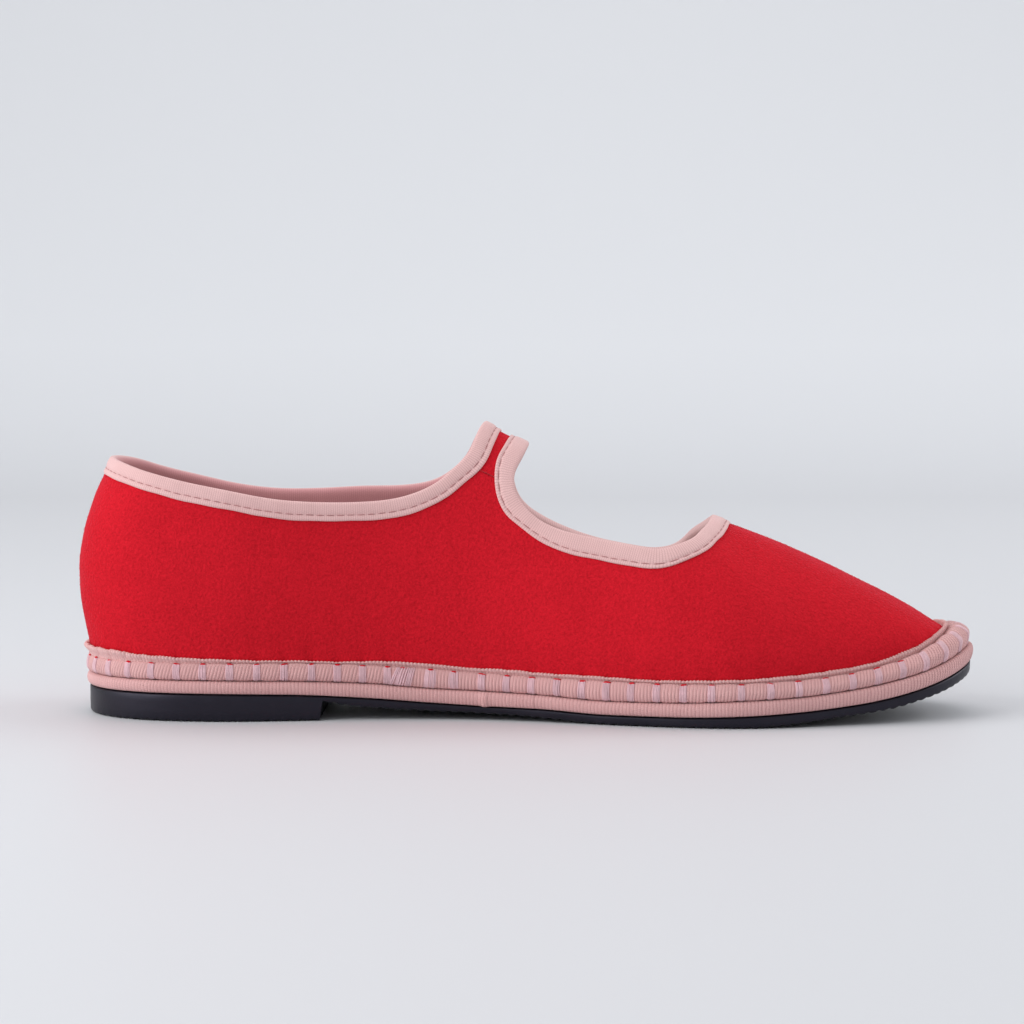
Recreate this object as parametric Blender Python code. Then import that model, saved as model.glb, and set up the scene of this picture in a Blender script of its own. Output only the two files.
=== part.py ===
"""Left mary jane flat, EU 38: eight sewn and moulded pieces on one last shape.

Frame: +X to the toe, +Y to the outer (little toe) side, +Z up, floor at z = 0.
Tables are in millimetres and degrees; solids are made in metres.
"""
import math

import bpy
import numpy as np

MILLIMETRE = 0.001
HALF_TURN = math.pi
QUARTER_TURN = math.pi / 2

# Sole size: heel and toe ends of the pink band, and its width at the ball
HEEL_END = -123.4
TOE_END = 125.2
BALL_WIDTH = 86.0

# Clearance between curved pieces and thickness of the materials
GAP = 0.30
WALL = 1.60
TAPE = 0.65
INSOLE_THICKNESS = 2.5
INSOLE_EASE = 0.6
UPPER_TUCK = 2.6
COLLAR_LEG = 5.1
THROAT_LEG = 5.8
EDGE_COVER = 1.0

# Roll: width at the heel, share of its extra width behind the band's edge, foot tucked in,
# clearance to the velvet at its crest and below it
NARROW_ROLL = 1.6
ROLL_SET_BACK = 0.19
ROLL_FOOT = 1.1
CREST_EASE = 0.38
ROLL_EASE = 0.45

# Heel breast: where the moulded heel stops under the waist
BREAST_REAR = -56.8
BREAST_FRONT = -55.6

# Pairs of stations round the sole pieces
SOLE_PAIRS = 42

# Sole edge seen from above, outer side: share of length, share of ball width
OUTER_EDGE = (
    (0.000, 0.000),
    (0.030, 0.218),
    (0.085, 0.320),
    (0.180, 0.358),
    (0.400, 0.400),
    (0.630, 0.500),
    (0.790, 0.440),
    (0.900, 0.320),
    (0.962, 0.205),
    (1.000, -0.050),
)

# Sole edge seen from above, inner side: share of length, share of ball width
INNER_EDGE = (
    (0.025, -0.200),
    (0.080, -0.305),
    (0.180, -0.342),
    (0.440, -0.300),
    (0.590, -0.420),
    (0.720, -0.500),
    (0.840, -0.435),
    (0.920, -0.360),
    (0.975, -0.240),
)

# Layers of the sole: along, top of the rubber, top of the band, top of the roll
LAYERS = (
    (-124.0, 7.60, 11.30, 16.00),
    (-95.0, 7.60, 11.30, 16.00),
    (-66.0, 7.20, 11.00, 15.90),
    (-44.0, 5.95, 10.10, 15.05),
    (-26.0, 4.55, 8.60, 13.90),
    (-12.0, 3.80, 8.00, 12.85),
    (4.0, 3.45, 7.40, 12.15),
    (22.0, 2.65, 6.45, 11.80),
    (40.0, 2.70, 6.65, 11.65),
    (57.0, 3.12, 7.35, 11.95),
    (74.0, 4.00, 8.15, 12.60),
    (84.0, 4.85, 9.10, 13.50),
    (92.0, 5.78, 10.15, 14.65),
    (100.0, 7.15, 11.60, 16.40),
    (108.0, 9.00, 13.45, 18.95),
    (116.0, 11.40, 16.00, 22.70),
    (120.0, 12.95, 17.75, 24.75),
    (125.2, 15.25, 19.95, 27.00),
)

# Underside of the rubber ahead of the heel: along, height
UNDERSIDE = (
    (-60.0, 5.20),
    (-54.0, 4.80),
    (-48.0, 3.70),
    (-36.0, 2.75),
    (-22.0, 2.05),
    (-8.0, 1.60),
    (4.0, 1.05),
    (13.0, 0.40),
    (22.0, 0.00),
    (60.0, 0.00),
    (68.0, 0.35),
    (76.0, 1.15),
    (84.0, 2.10),
    (92.0, 2.95),
    (100.0, 4.10),
    (108.0, 5.90),
    (115.0, 7.80),
    (120.0, 9.60),
    (125.2, 11.80),
)

# Last shape round the foot: angle from the heel, feather inset, boxiness,
# swell beyond the feather, height of the swell, drop of the apex
LAST = (
    (0.0, 1.6, 2.60, 5.2, 34.0, 9.4),
    (22.0, 1.6, 2.50, 4.6, 33.0, 8.4),
    (42.0, 1.9, 2.25, 3.0, 29.0, 4.0),
    (60.0, 2.2, 2.15, 2.0, 23.0, 0.0),
    (80.0, 2.5, 2.00, 1.7, 15.0, 0.0),
    (92.0, 2.7, 2.05, 1.6, 12.0, 0.0),
    (107.0, 3.0, 2.15, 1.8, 10.0, 0.0),
    (125.0, 3.5, 2.10, 1.9, 9.0, 0.0),
    (145.0, 4.9, 2.40, 1.4, 8.0, 0.0),
    (164.0, 7.2, 3.40, 0.5, 6.0, 0.0),
    (180.0, 8.4, 4.50, 0.0, 6.0, 0.0),
)

# Ridge of the last over the instep
RIDGE_REAR = -60.0
RIDGE_FRONT = 30.0
RIDGE_SOFTNESS = 7.0

# Height of the ridge over the instep and down the vamp: along, height
RIDGE = (
    (-60.0, 104.5),
    (-12.0, 80.6),
    (0.8, 74.3),
    (30.0, 61.2),
    (44.0, 56.8),
    (56.0, 52.9),
    (66.0, 49.4),
    (77.0, 45.1),
    (87.0, 40.7),
    (97.0, 36.2),
    (106.6, 31.7),
    (117.0, 24.6),
    (126.0, 18.3),
)

# Sideways place of the ridge: along, across
RIDGE_PLACE = (
    (-60.0, 0.0),
    (-12.0, 0.6),
    (30.0, -3.0),
)

# Finished collar edge, inner side: along, height
COLLAR_INNER = (
    (-110.7, 70.1),
    (-102.0, 67.7),
    (-92.7, 65.5),
    (-83.6, 63.7),
    (-74.7, 61.9),
    (-65.8, 60.5),
    (-56.8, 59.9),
    (-43.9, 59.9),
    (-37.2, 60.5),
    (-30.2, 62.3),
    (-24.2, 65.3),
    (-20.2, 68.6),
    (-16.5, 72.2),
    (-14.2, 76.7),
)

# Finished collar edge, outer side: along, height
COLLAR_OUTER = (
    (-109.8, 69.5),
    (-102.6, 66.8),
    (-93.3, 64.3),
    (-83.8, 62.1),
    (-74.4, 60.8),
    (-64.5, 60.5),
    (-55.9, 60.8),
    (-46.0, 61.3),
    (-38.8, 61.4),
    (-31.9, 61.9),
    (-25.6, 63.5),
    (-21.0, 66.4),
    (-16.9, 70.9),
    (-14.3, 76.2),
)
COLLAR_BACK_HEIGHT = 71.2
COLLAR_CREST_ALONG = -11.9

# Finished throat edge, inner side: along, height
THROAT_INNER = (
    (-0.9, 71.5),
    (-3.1, 66.9),
    (-2.8, 62.4),
    (-0.4, 58.5),
    (4.7, 54.3),
    (11.8, 51.6),
    (21.4, 49.6),
    (31.2, 47.8),
    (36.6, 47.4),
    (41.4, 48.5),
)

# Finished throat edge, outer side: along, height
THROAT_OUTER = (
    (-0.9, 71.5),
    (-3.1, 66.6),
    (-2.9, 61.6),
    (-0.6, 56.9),
    (4.7, 52.6),
    (11.8, 49.0),
    (21.4, 45.6),
    (31.2, 43.5),
    (37.6, 42.7),
    (42.6, 43.7),
)

# Front of the finished throat edge seen from above: along, across
THROAT_FRONT = (
    (46.0, -23.4),
    (48.6, -17.6),
    (50.7, -11.0),
    (52.1, -3.6),
    (51.9, 3.2),
    (50.9, 9.8),
    (49.4, 16.2),
    (47.0, 22.8),
)
THROAT_MIDDLE = 0.0

# Coordinates that fix a point: along and height, or along and across
BY_HEIGHT = slice(0, 3, 2)
FROM_ABOVE = slice(0, 2)
THROAT_CREST_ALONG = 0.8

# Heights where the strap seams cross the collar edge and the throat edge
SEAM_AT_COLLAR = 70.6
SEAM_AT_THROAT = 64.4

# Which way round each edge is walked to keep the velvet on the same hand
COLLAR_SIDE = -1
THROAT_SIDE = 1

# Stations along the edges
COLLAR_STATIONS = 47
THROAT_STATIONS = 43
SEAM_STATIONS = 3
STRAP_STATIONS = 15
STRAP_ACROSS = 5

# Rows of the upper: share of the way from the feather to the edge
UPPER_ROWS = (0.0, 0.11, 0.24, 0.38, 0.52, 0.66, 0.79, 0.905, 1.0)

# Section of the folded tape: depth below the finished edge, height off the velvet.
# A depth of LEG_END stands for the leg of the edge that is being bound.
LEG_END = -1.0
TAPE_SECTION = (
    (LEG_END, 0.98),
    (2.6, 1.08),
    (0.7, 0.94),
    (0.0, 0.10),
    (0.0, -1.70),
    (0.7, -2.56),
    (LEG_END, -2.60),
    (LEG_END, -1.96),
    (TAPE, -1.96),
    (TAPE, 0.36),
    (LEG_END, 0.36),
)


def monotone_curve(rows, column, level_ends=False):
    """Smooth curve through one column of a table, without overshoot."""
    places = np.array([row[0] for row in rows], float)
    values = np.array([row[column] for row in rows], float)
    gaps = np.diff(places)
    slopes = np.diff(values) / gaps
    tangents = np.zeros(len(places))
    for index in range(1, len(places) - 1):
        before = slopes[index - 1]
        after = slopes[index]
        if before * after > 0:
            weight_before = 2 * gaps[index] + gaps[index - 1]
            weight_after = gaps[index] + 2 * gaps[index - 1]
            total = weight_before + weight_after
            tangents[index] = total / (weight_before / before + weight_after / after)
    if not level_ends:
        tangents[0] = slopes[0]
        tangents[-1] = slopes[-1]

    def value(place):
        place = np.clip(np.asarray(place, float), places[0], places[-1])
        cell = np.clip(np.searchsorted(places, place) - 1, 0, len(gaps) - 1)
        gap = gaps[cell]
        share = (place - places[cell]) / gap
        square = share * share
        cube = square * share
        start = (2 * cube - 3 * square + 1) * values[cell]
        start_pull = (cube - 2 * square + share) * gap * tangents[cell]
        end = (3 * square - 2 * cube) * values[cell + 1]
        end_pull = (cube - square) * gap * tangents[cell + 1]
        return start + start_pull + end + end_pull

    return value


def closed_spline(knots, values):
    """Closed cubic spline over one full turn."""
    knots = np.asarray(knots, float)
    values = np.asarray(values, float)
    count = len(knots)
    gaps = np.diff(np.append(knots, knots[0] + 2 * HALF_TURN))
    matrix = np.zeros((count, count))
    right = np.zeros(count)
    for index in range(count):
        following = (index + 1) % count
        matrix[index, index - 1] += gaps[index - 1]
        matrix[index, index] += 2 * (gaps[index - 1] + gaps[index])
        matrix[index, following] += gaps[index]
        slope_after = (values[following] - values[index]) / gaps[index]
        slope_before = (values[index] - values[index - 1]) / gaps[index - 1]
        right[index] = 6 * (slope_after - slope_before)
    bends = np.linalg.solve(matrix, right)

    def value(place):
        wrapped = (np.asarray(place, float) - knots[0]) % (2 * HALF_TURN) + knots[0]
        cell = np.clip(np.searchsorted(knots, wrapped, side="right") - 1, 0, count - 1)
        following = (cell + 1) % count
        gap = gaps[cell]
        after = (wrapped - knots[cell]) / gap
        before = 1 - after
        bend = (before ** 3 - before) * bends[cell] + (after ** 3 - after) * bends[following]
        return before * values[cell] + after * values[following] + bend * gap * gap / 6

    return value


def natural_spline(knots, values):
    """Open cubic spline through knots, straight at both ends."""
    knots = np.asarray(knots, float)
    values = np.asarray(values, float)
    count = len(knots)
    gaps = np.diff(knots)
    matrix = np.eye(count)
    right = np.zeros(values.shape)
    for index in range(1, count - 1):
        matrix[index, index - 1] = gaps[index - 1]
        matrix[index, index] = 2 * (gaps[index - 1] + gaps[index])
        matrix[index, index + 1] = gaps[index]
        slope_after = (values[index + 1] - values[index]) / gaps[index]
        slope_before = (values[index] - values[index - 1]) / gaps[index - 1]
        right[index] = 6 * (slope_after - slope_before)
    bends = np.linalg.solve(matrix, right)

    def value(place):
        place = np.asarray(place, float)
        cell = np.clip(np.searchsorted(knots, place) - 1, 0, count - 2)
        gap = gaps[cell][..., None]
        after = (place[..., None] - knots[cell][..., None]) / gap
        before = 1 - after
        bend = (before ** 3 - before) * bends[cell] + (after ** 3 - after) * bends[cell + 1]
        return before * values[cell] + after * values[cell + 1] + bend * gap * gap / 6

    return value


def edge_knots():
    """Angles and sideways places of the sole edge, inner side first."""
    rows = []
    for share, across in INNER_EDGE:
        rows.append((-math.acos(1 - 2 * share), across * BALL_WIDTH))
    for share, across in OUTER_EDGE:
        rows.append((math.acos(1 - 2 * share), across * BALL_WIDTH))
    rows.sort()
    return rows


EDGE_ROWS = edge_knots()
EDGE_ACROSS = closed_spline([row[0] for row in EDGE_ROWS], [row[1] for row in EDGE_ROWS])
RUBBER_TOP = monotone_curve(LAYERS, 1)
BAND_TOP = monotone_curve(LAYERS, 2)
ROLL_TOP = monotone_curve(LAYERS, 3)
UNDERSIDE_HEIGHT = monotone_curve(UNDERSIDE, 1)
FEATHER_INSET = monotone_curve(LAST, 1, True)
BOXINESS = monotone_curve(LAST, 2, True)
SWELL = monotone_curve(LAST, 3, True)
SWELL_HEIGHT = monotone_curve(LAST, 4, True)
APEX_DROP = monotone_curve(LAST, 5, True)
RIDGE_ACROSS = monotone_curve(RIDGE_PLACE, 1)
RIDGE_HEIGHT = monotone_curve(RIDGE, 1)


def edge_along(angle):
    """Place along the shoe of the sole edge at an angle from the heel."""
    middle = (HEEL_END + TOE_END) / 2
    half = (TOE_END - HEEL_END) / 2
    return middle - half * np.cos(angle)


def edge_frame(angle):
    """Point of the sole edge and its outward direction, both flat."""
    angle = np.asarray(angle, float)
    step = 1e-4
    point = np.stack([edge_along(angle), EDGE_ACROSS(angle)], -1)
    ahead = np.stack([edge_along(angle + step), EDGE_ACROSS(angle + step)], -1)
    behind = np.stack([edge_along(angle - step), EDGE_ACROSS(angle - step)], -1)
    travel = ahead - behind
    travel /= np.linalg.norm(travel, axis=-1, keepdims=True)
    outward = np.stack([-travel[..., 1], travel[..., 0]], -1)
    return point, outward


def edge_point(angle, offset):
    """Flat point at an offset from the sole edge, outward positive."""
    point, outward = edge_frame(angle)
    return point + outward * np.asarray(offset, float)[..., None]


def turn_from_heel(angle):
    """Angle from the heel in degrees, the same on both sides."""
    wrapped = (np.asarray(angle, float) + HALF_TURN) % (2 * HALF_TURN) - HALF_TURN
    return np.degrees(np.abs(wrapped))


def softplus(value):
    """Smooth ramp that is zero well below zero and straight above it."""
    return np.logaddexp(0.0, value)


def rib_head(angle):
    """Flat point of the last's ridge that a rib rises to."""
    along = edge_along(angle)
    rear = softplus((along - RIDGE_REAR) / RIDGE_SOFTNESS)
    front = softplus((along - RIDGE_FRONT) / RIDGE_SOFTNESS)
    ridge_along = RIDGE_REAR + RIDGE_SOFTNESS * (rear - front)
    return np.stack([ridge_along, RIDGE_ACROSS(ridge_along)], -1)


def feather_point(angle):
    """Point where the upper leaves the roll."""
    flat = edge_point(angle, -FEATHER_INSET(turn_from_heel(angle)))
    height = ROLL_TOP(flat[..., 0])
    return np.concatenate([flat, height[..., None]], -1)


def last_surface(angle, rise):
    """Outer surface of the upper; a rise past a quarter turn crosses the ridge."""
    angle, rise = np.broadcast_arrays(np.asarray(angle, float), np.asarray(rise, float))
    over = rise > QUARTER_TURN
    angle = np.where(over, -angle, angle)
    rise = np.where(over, HALF_TURN - rise, rise)
    foot = feather_point(angle)
    head = rib_head(angle)
    outward = edge_frame(angle)[1]
    turn = turn_from_heel(angle)
    power = BOXINESS(turn)
    across = np.maximum(np.cos(rise), 0.0)
    upward = np.maximum(np.sin(rise), 0.0)
    reach = (across ** power + upward ** power) ** (-1 / power)
    across = across * reach
    upward = upward * reach
    flat = head + (foot[..., :2] - head) * across[..., None]
    under = np.maximum(flat[..., 0], head[..., 0])
    climb = RIDGE_HEIGHT(under) - APEX_DROP(turn) - foot[..., 2]
    swell_share = np.minimum(1.0, upward * climb / SWELL_HEIGHT(turn))
    swell = SWELL(turn) * np.sin(QUARTER_TURN * swell_share) * across
    flat = flat + outward * swell[..., None]
    height = foot[..., 2] + climb * upward
    return np.concatenate([flat, height[..., None]], -1)


def surface_frame(angle, rise):
    """Point, both travel directions and outward normal of the last."""
    step = 1e-4
    point = last_surface(angle, rise)
    along = (last_surface(angle + step, rise) - last_surface(angle - step, rise)) / (2 * step)
    upward = (last_surface(angle, rise + step) - last_surface(angle, rise - step)) / (2 * step)
    normal = np.cross(upward, along)
    normal /= np.linalg.norm(normal, axis=-1, keepdims=True)
    return point, along, upward, normal


def offset_surface(angle, rise, offset):
    """Point of the last pushed outward by an offset."""
    point, _, _, normal = surface_frame(angle, rise)
    return point + normal * np.asarray(offset, float)[..., None]


def rise_at_height(angle, height):
    """Rise of a rib at a height above the floor."""
    low = 0.0
    high = QUARTER_TURN
    for _ in range(40):
        middle = (low + high) / 2
        if last_surface(angle, middle)[2] < height:
            low = middle
        else:
            high = middle
    return (low + high) / 2


def locate(target, axes, side):
    """Angle and rise of the last's point with two given coordinates."""
    middle = (HEEL_END + TOE_END) / 2
    reach = (TOE_END - HEEL_END) / 2
    knot = np.array([side * math.acos((middle - target[0]) / reach), 0.9])
    step = 1e-4
    longest = 0.12
    for _ in range(60):
        here = last_surface(knot[0], knot[1])[axes]
        turned = last_surface(knot[0] + step, knot[1])[axes]
        raised = last_surface(knot[0], knot[1] + step)[axes]
        slopes = np.stack([(turned - here) / step, (raised - here) / step], 1)
        move = np.linalg.solve(slopes, np.array(target) - here)
        size = np.abs(move).max()
        knot = knot + move * min(1.0, longest / max(size, 1e-12))
        if size < 1e-9:
            break
    return knot[0], knot[1]


def ridge_angle(along):
    """Outer side angle whose ridge point has a given place."""
    low = 0.0
    high = HALF_TURN
    for _ in range(48):
        middle = (low + high) / 2
        if rib_head(middle)[0] < along:
            low = middle
        else:
            high = middle
    return (low + high) / 2


def mirrored(knot):
    """The same knot written on the other side of the ridge."""
    return (-knot[0], HALF_TURN - knot[1])


def edge_curve(knots):
    """Spline through angle and rise knots, by distance along the shoe's surface."""
    table = np.array(knots, float)
    points = last_surface(table[:, 0], table[:, 1])
    steps = np.linalg.norm(np.diff(points, axis=0), axis=1)
    distance = np.concatenate([[0.0], np.cumsum(steps)])
    return natural_spline(distance, table), distance


def collar_curve():
    """Finished collar edge from the ridge down the inner side and back up."""
    crest = ridge_angle(COLLAR_CREST_ALONG)
    inner = [locate(row, BY_HEIGHT, -1.0) for row in reversed(COLLAR_INNER)]
    outer = [locate(row, BY_HEIGHT, 1.0) for row in COLLAR_OUTER]
    back = (0.0, rise_at_height(0.0, COLLAR_BACK_HEIGHT))
    knots = [(-crest, QUARTER_TURN)] + inner + [back] + outer + [(crest, QUARTER_TURN)]
    lead = [mirrored(outer[-2]), mirrored(outer[-1])]
    tail = [mirrored(inner[0]), mirrored(inner[1])]
    curve, distance = edge_curve(lead + knots + tail)
    return curve, distance[2], distance[-3]


def throat_curve():
    """Finished throat edge from the ridge down the inner side and back up."""
    crest = ridge_angle(THROAT_CREST_ALONG)
    full = 2 * HALF_TURN
    inner = [locate(row, BY_HEIGHT, -1.0) for row in THROAT_INNER]
    outer = [locate(row, BY_HEIGHT, 1.0) for row in reversed(THROAT_OUTER)]
    outer = [(angle - full, rise) for angle, rise in outer]
    front = []
    for row in THROAT_FRONT:
        side = 1.0 if row[1] > THROAT_MIDDLE else -1.0
        angle, rise = locate(row, FROM_ABOVE, side)
        front.append((angle - full if side > 0 else angle, rise))
    start = (-crest, QUARTER_TURN)
    end = (crest - full, QUARTER_TURN)
    knots = [start] + inner + front + outer + [end]
    lead = [(-full - angle, HALF_TURN - rise) for angle, rise in outer[-2:]]
    tail = [(-full - angle, HALF_TURN - rise) for angle, rise in inner[:2]]
    curve, distance = edge_curve(lead + knots + tail)
    return curve, distance[2], distance[-3]


def distance_at_height(curve, start, end, height):
    """Distance along an edge, from its start, where it has come down to a height."""
    low = start
    high = end
    for _ in range(48):
        middle = (low + high) / 2
        knot = curve(np.array([middle]))[0]
        if last_surface(knot[0], knot[1])[2] > height:
            low = middle
        else:
            high = middle
    return (low + high) / 2


def sink(knots, previous, following, depth, offset):
    """Points at a depth away from an edge within the surface, then pushed outward."""
    point, along, upward, normal = surface_frame(knots[:, 0], knots[:, 1])
    travel = last_surface(following[:, 0], following[:, 1])
    travel = travel - last_surface(previous[:, 0], previous[:, 1])
    travel /= np.linalg.norm(travel, axis=-1, keepdims=True)
    away = np.cross(travel, normal)
    away /= np.linalg.norm(away, axis=-1, keepdims=True)
    first = (along * along).sum(-1)
    mixed = (along * upward).sum(-1)
    second = (upward * upward).sum(-1)
    pull_along = (away * along).sum(-1)
    pull_upward = (away * upward).sum(-1)
    scale = first * second - mixed * mixed
    turn = (pull_along * second - pull_upward * mixed) / scale
    lift = (pull_upward * first - pull_along * mixed) / scale
    angle = knots[:, 0] + turn * depth
    rise = knots[:, 1] + lift * depth
    return np.stack([angle, rise], -1), offset_surface(angle, rise, np.full(len(angle), offset))


def edge_stations(curve, distances, side):
    """Knots of an edge with neighbours on both sides, in the order given by side."""
    nudge = 0.4 * side
    return curve(distances), curve(distances - nudge), curve(distances + nudge)


def triangles_between(rows, columns, closed_columns):
    """Triangles of a grid whose vertices are numbered row by row."""
    faces = []
    reach = columns if closed_columns else columns - 1
    for row in range(rows - 1):
        for column in range(reach):
            following = (column + 1) % columns
            a = row * columns + column
            b = row * columns + following
            c = (row + 1) * columns + following
            d = (row + 1) * columns + column
            faces.append((a, b, c))
            faces.append((a, c, d))
    return faces


def signed_volume(points, faces):
    """Volume inside a closed body, positive when its faces look outward."""
    table = np.array(faces)
    first = points[table[:, 0]]
    second = points[table[:, 1]]
    third = points[table[:, 2]]
    return float((first * np.cross(second, third)).sum() / 6)


def add_solid(name, points, faces):
    """Make one closed body from points in millimetres."""
    points = np.asarray(points, float)
    if signed_volume(points, faces) < 0:
        faces = [tuple(reversed(face)) for face in faces]
    mesh = bpy.data.meshes.new(name)
    mesh.from_pydata((points * MILLIMETRE).tolist(), [], faces)
    mesh.validate()
    mesh.update()
    body = bpy.data.objects.new(name, mesh)
    bpy.context.scene.collection.objects.link(body)
    return body


def ring_solid(name, grid):
    """Closed ring from a grid of stations by section points."""
    stations, section, _ = grid.shape
    points = grid.reshape(-1, 3)
    faces = []
    for station in range(stations):
        following = (station + 1) % stations
        for corner in range(section):
            beyond = (corner + 1) % section
            a = station * section + corner
            b = station * section + beyond
            c = following * section + beyond
            d = following * section + corner
            faces.append((a, b, c))
            faces.append((a, c, d))
    return add_solid(name, points, faces)


def plate_angles(extra_places):
    """Angles in mirrored pairs, from the toe round the inner side to the heel and back."""
    half = [HALF_TURN * index / SOLE_PAIRS for index in range(1, SOLE_PAIRS)]
    middle = (HEEL_END + TOE_END) / 2
    reach = (TOE_END - HEEL_END) / 2
    extra = [math.acos((middle - place) / reach) for place in extra_places]
    half = [angle for angle in half if all(abs(angle - other) > 0.03 for other in extra)]
    half = sorted(half + extra)
    inner = [-HALF_TURN] + [-angle for angle in reversed(half)] + [0.0]
    return np.array(inner + half)


def plate_solid(name, loops):
    """Closed plate from loops of mirrored stations, bottom loop first."""
    count = len(loops[0])
    points = np.concatenate(loops)
    faces = triangles_between(len(loops), count, True)
    top = (len(loops) - 1) * count
    for step in range(count // 2):
        near = step
        near_next = step + 1
        far = (count - step) % count
        far_next = count - step - 1
        for start, flip in ((0, False), (top, True)):
            cell = [(near, far_next, near_next), (near, far, far_next)]
            for face in cell:
                if len(set(face)) < 3:
                    continue
                placed = tuple(start + corner for corner in face)
                faces.append(tuple(reversed(placed)) if flip else placed)
    return add_solid(name, points, faces)


def level_loop(angles, offset, height):
    """Loop at an offset from the sole edge, its height given by the place along."""
    flat = edge_point(angles, np.broadcast_to(offset, angles.shape))
    level = height(flat[:, 0])
    return np.concatenate([flat, level[:, None]], -1)


def make_outsole():
    """Rubber unit with its heel, waist and sprung toe."""
    angles = plate_angles((BREAST_REAR, BREAST_FRONT))
    behind = edge_along(angles) < (BREAST_REAR + BREAST_FRONT) / 2

    def under(place):
        return np.where(behind, 0.0, UNDERSIDE_HEIGHT(place))

    def top(place):
        return RUBBER_TOP(place) - GAP / 2

    def part_way(share, lift):
        def height(place):
            return under(place) + lift + (top(place) - under(place) - lift) * share
        return height

    loops = [
        level_loop(angles, -2.3, under),
        level_loop(angles, -1.25, part_way(0.0, 0.55)),
        level_loop(angles, -0.75, part_way(0.45, 0.55)),
        level_loop(angles, -0.75, top),
    ]
    return plate_solid("outsole", loops)


def make_midsole():
    """Covered board whose rounded edge is the pink band."""
    angles = plate_angles(())

    def between(share):
        def height(place):
            low = RUBBER_TOP(place) + GAP / 2
            return low + (BAND_TOP(place) - low) * share
        return height

    loops = [
        level_loop(angles, -1.30, between(0.0)),
        level_loop(angles, -0.25, between(0.22)),
        level_loop(angles, 0.0, between(0.5)),
        level_loop(angles, -0.3, between(0.8)),
        level_loop(angles, -1.4, between(1.0)),
    ]
    return plate_solid("midsole", loops)


def make_insole():
    """Thin board and sheet inside the shoe."""
    angles = plate_angles(())
    reach = FEATHER_INSET(turn_from_heel(angles)) + UPPER_TUCK + WALL + INSOLE_EASE

    def low(place):
        return BAND_TOP(place) + GAP

    def high(place):
        return BAND_TOP(place) + GAP + INSOLE_THICKNESS

    def shoulder(place):
        return BAND_TOP(place) + GAP + INSOLE_THICKNESS * 0.75

    loops = [
        level_loop(angles, -reach, low),
        level_loop(angles, -reach, shoulder),
        level_loop(angles, -reach - 1.2, high),
    ]
    return plate_solid("insole", loops)


def make_edge_roll():
    """Padded roll round the shoe between the band and the velvet."""
    angles = plate_angles(())
    turn = turn_from_heel(angles)
    inset = FEATHER_INSET(turn)
    outer = ROLL_SET_BACK * (inset - NARROW_ROLL)
    slack = inset - outer - NARROW_ROLL
    section = (
        (outer + ROLL_FOOT, 0.00),
        (outer + 0.15, 0.20),
        (outer, 0.47),
        (outer + 0.20 + 0.20 * slack, 0.72),
        (outer + 0.48 + 0.45 * slack, 0.92),
        (outer + 0.96 + 0.70 * slack, 1.00),
        (inset + 0.1 * UPPER_TUCK - CREST_EASE, 0.92),
        (inset + 0.5 * UPPER_TUCK - ROLL_EASE, 0.50),
        (inset + UPPER_TUCK - ROLL_EASE, 0.00),
    )
    stations = []
    for offset, share in section:
        flat = edge_point(angles, -offset)
        low = BAND_TOP(flat[:, 0]) + GAP
        level = low + (ROLL_TOP(flat[:, 0]) - low) * share
        stations.append(np.concatenate([flat, level[:, None]], -1))
    return ring_solid("edge_roll", np.stack(stations, 1))


def edge_plan():
    """Stations of both edges, the seams and the strap, shared by every sewn piece."""
    collar, collar_start, collar_end = collar_curve()
    throat, throat_start, throat_end = throat_curve()
    collar_half = (collar_start + collar_end) / 2
    throat_half = (throat_start + throat_end) / 2
    collar_near = distance_at_height(collar, collar_start, collar_half, SEAM_AT_COLLAR)
    collar_far = distance_at_height(collar, collar_end, collar_half, SEAM_AT_COLLAR)
    throat_near = distance_at_height(throat, throat_start, throat_half, SEAM_AT_THROAT)
    throat_far = distance_at_height(throat, throat_end, throat_half, SEAM_AT_THROAT)
    return {
        "collar": collar,
        "throat": throat,
        "collar_upper": even_stations(collar, collar_near, collar_far, COLLAR_STATIONS),
        "throat_upper": even_stations(throat, throat_near, throat_far, THROAT_STATIONS),
        "collar_strap_far": np.linspace(collar_far, collar_end, STRAP_STATIONS // 2 + 1),
        "collar_strap_near": np.linspace(collar_start, collar_near, STRAP_STATIONS // 2 + 1),
        "throat_strap_far": np.linspace(throat_far, throat_end, STRAP_STATIONS // 2 + 1),
        "throat_strap_near": np.linspace(throat_start, throat_near, STRAP_STATIONS // 2 + 1),
    }


def even_stations(curve, start, end, count):
    """Stations that are even along the edge and along the feather below it together."""
    samples = np.linspace(start, end, 400)
    knots = curve(samples)
    edge = last_surface(knots[:, 0], knots[:, 1])
    feather = feather_point(knots[:, 0])
    steps = np.linalg.norm(np.diff(edge, axis=0), axis=1)
    steps = steps + np.linalg.norm(np.diff(feather, axis=0), axis=1)
    travel = np.concatenate([[0.0], np.cumsum(steps)])
    return np.interp(np.linspace(0.0, travel[-1], count), travel, samples)


def covered_edge(curve, distances, side):
    """Knots of the velvet's own edge, under the folded tape."""
    here, before, after = edge_stations(curve, distances, side)
    return sink(here, before, after, EDGE_COVER, 0.0)[0]


def upper_top(plan):
    """Loop of knots round the upper's top: collar, inner seam, throat, outer seam."""
    collar = covered_edge(plan["collar"], plan["collar_upper"], COLLAR_SIDE)[::-1]
    throat = covered_edge(plan["throat"], plan["throat_upper"], THROAT_SIDE)
    shares = np.linspace(0.0, 1.0, SEAM_STATIONS + 2)[1:-1, None]
    inner_seam = collar[-1] + (throat[0] - collar[-1]) * shares
    turned = throat[-1]
    first = collar[0] - np.array([2 * HALF_TURN, 0.0])
    outer_seam = turned + (first - turned) * shares
    return np.concatenate([collar, inner_seam, throat, outer_seam])


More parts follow.
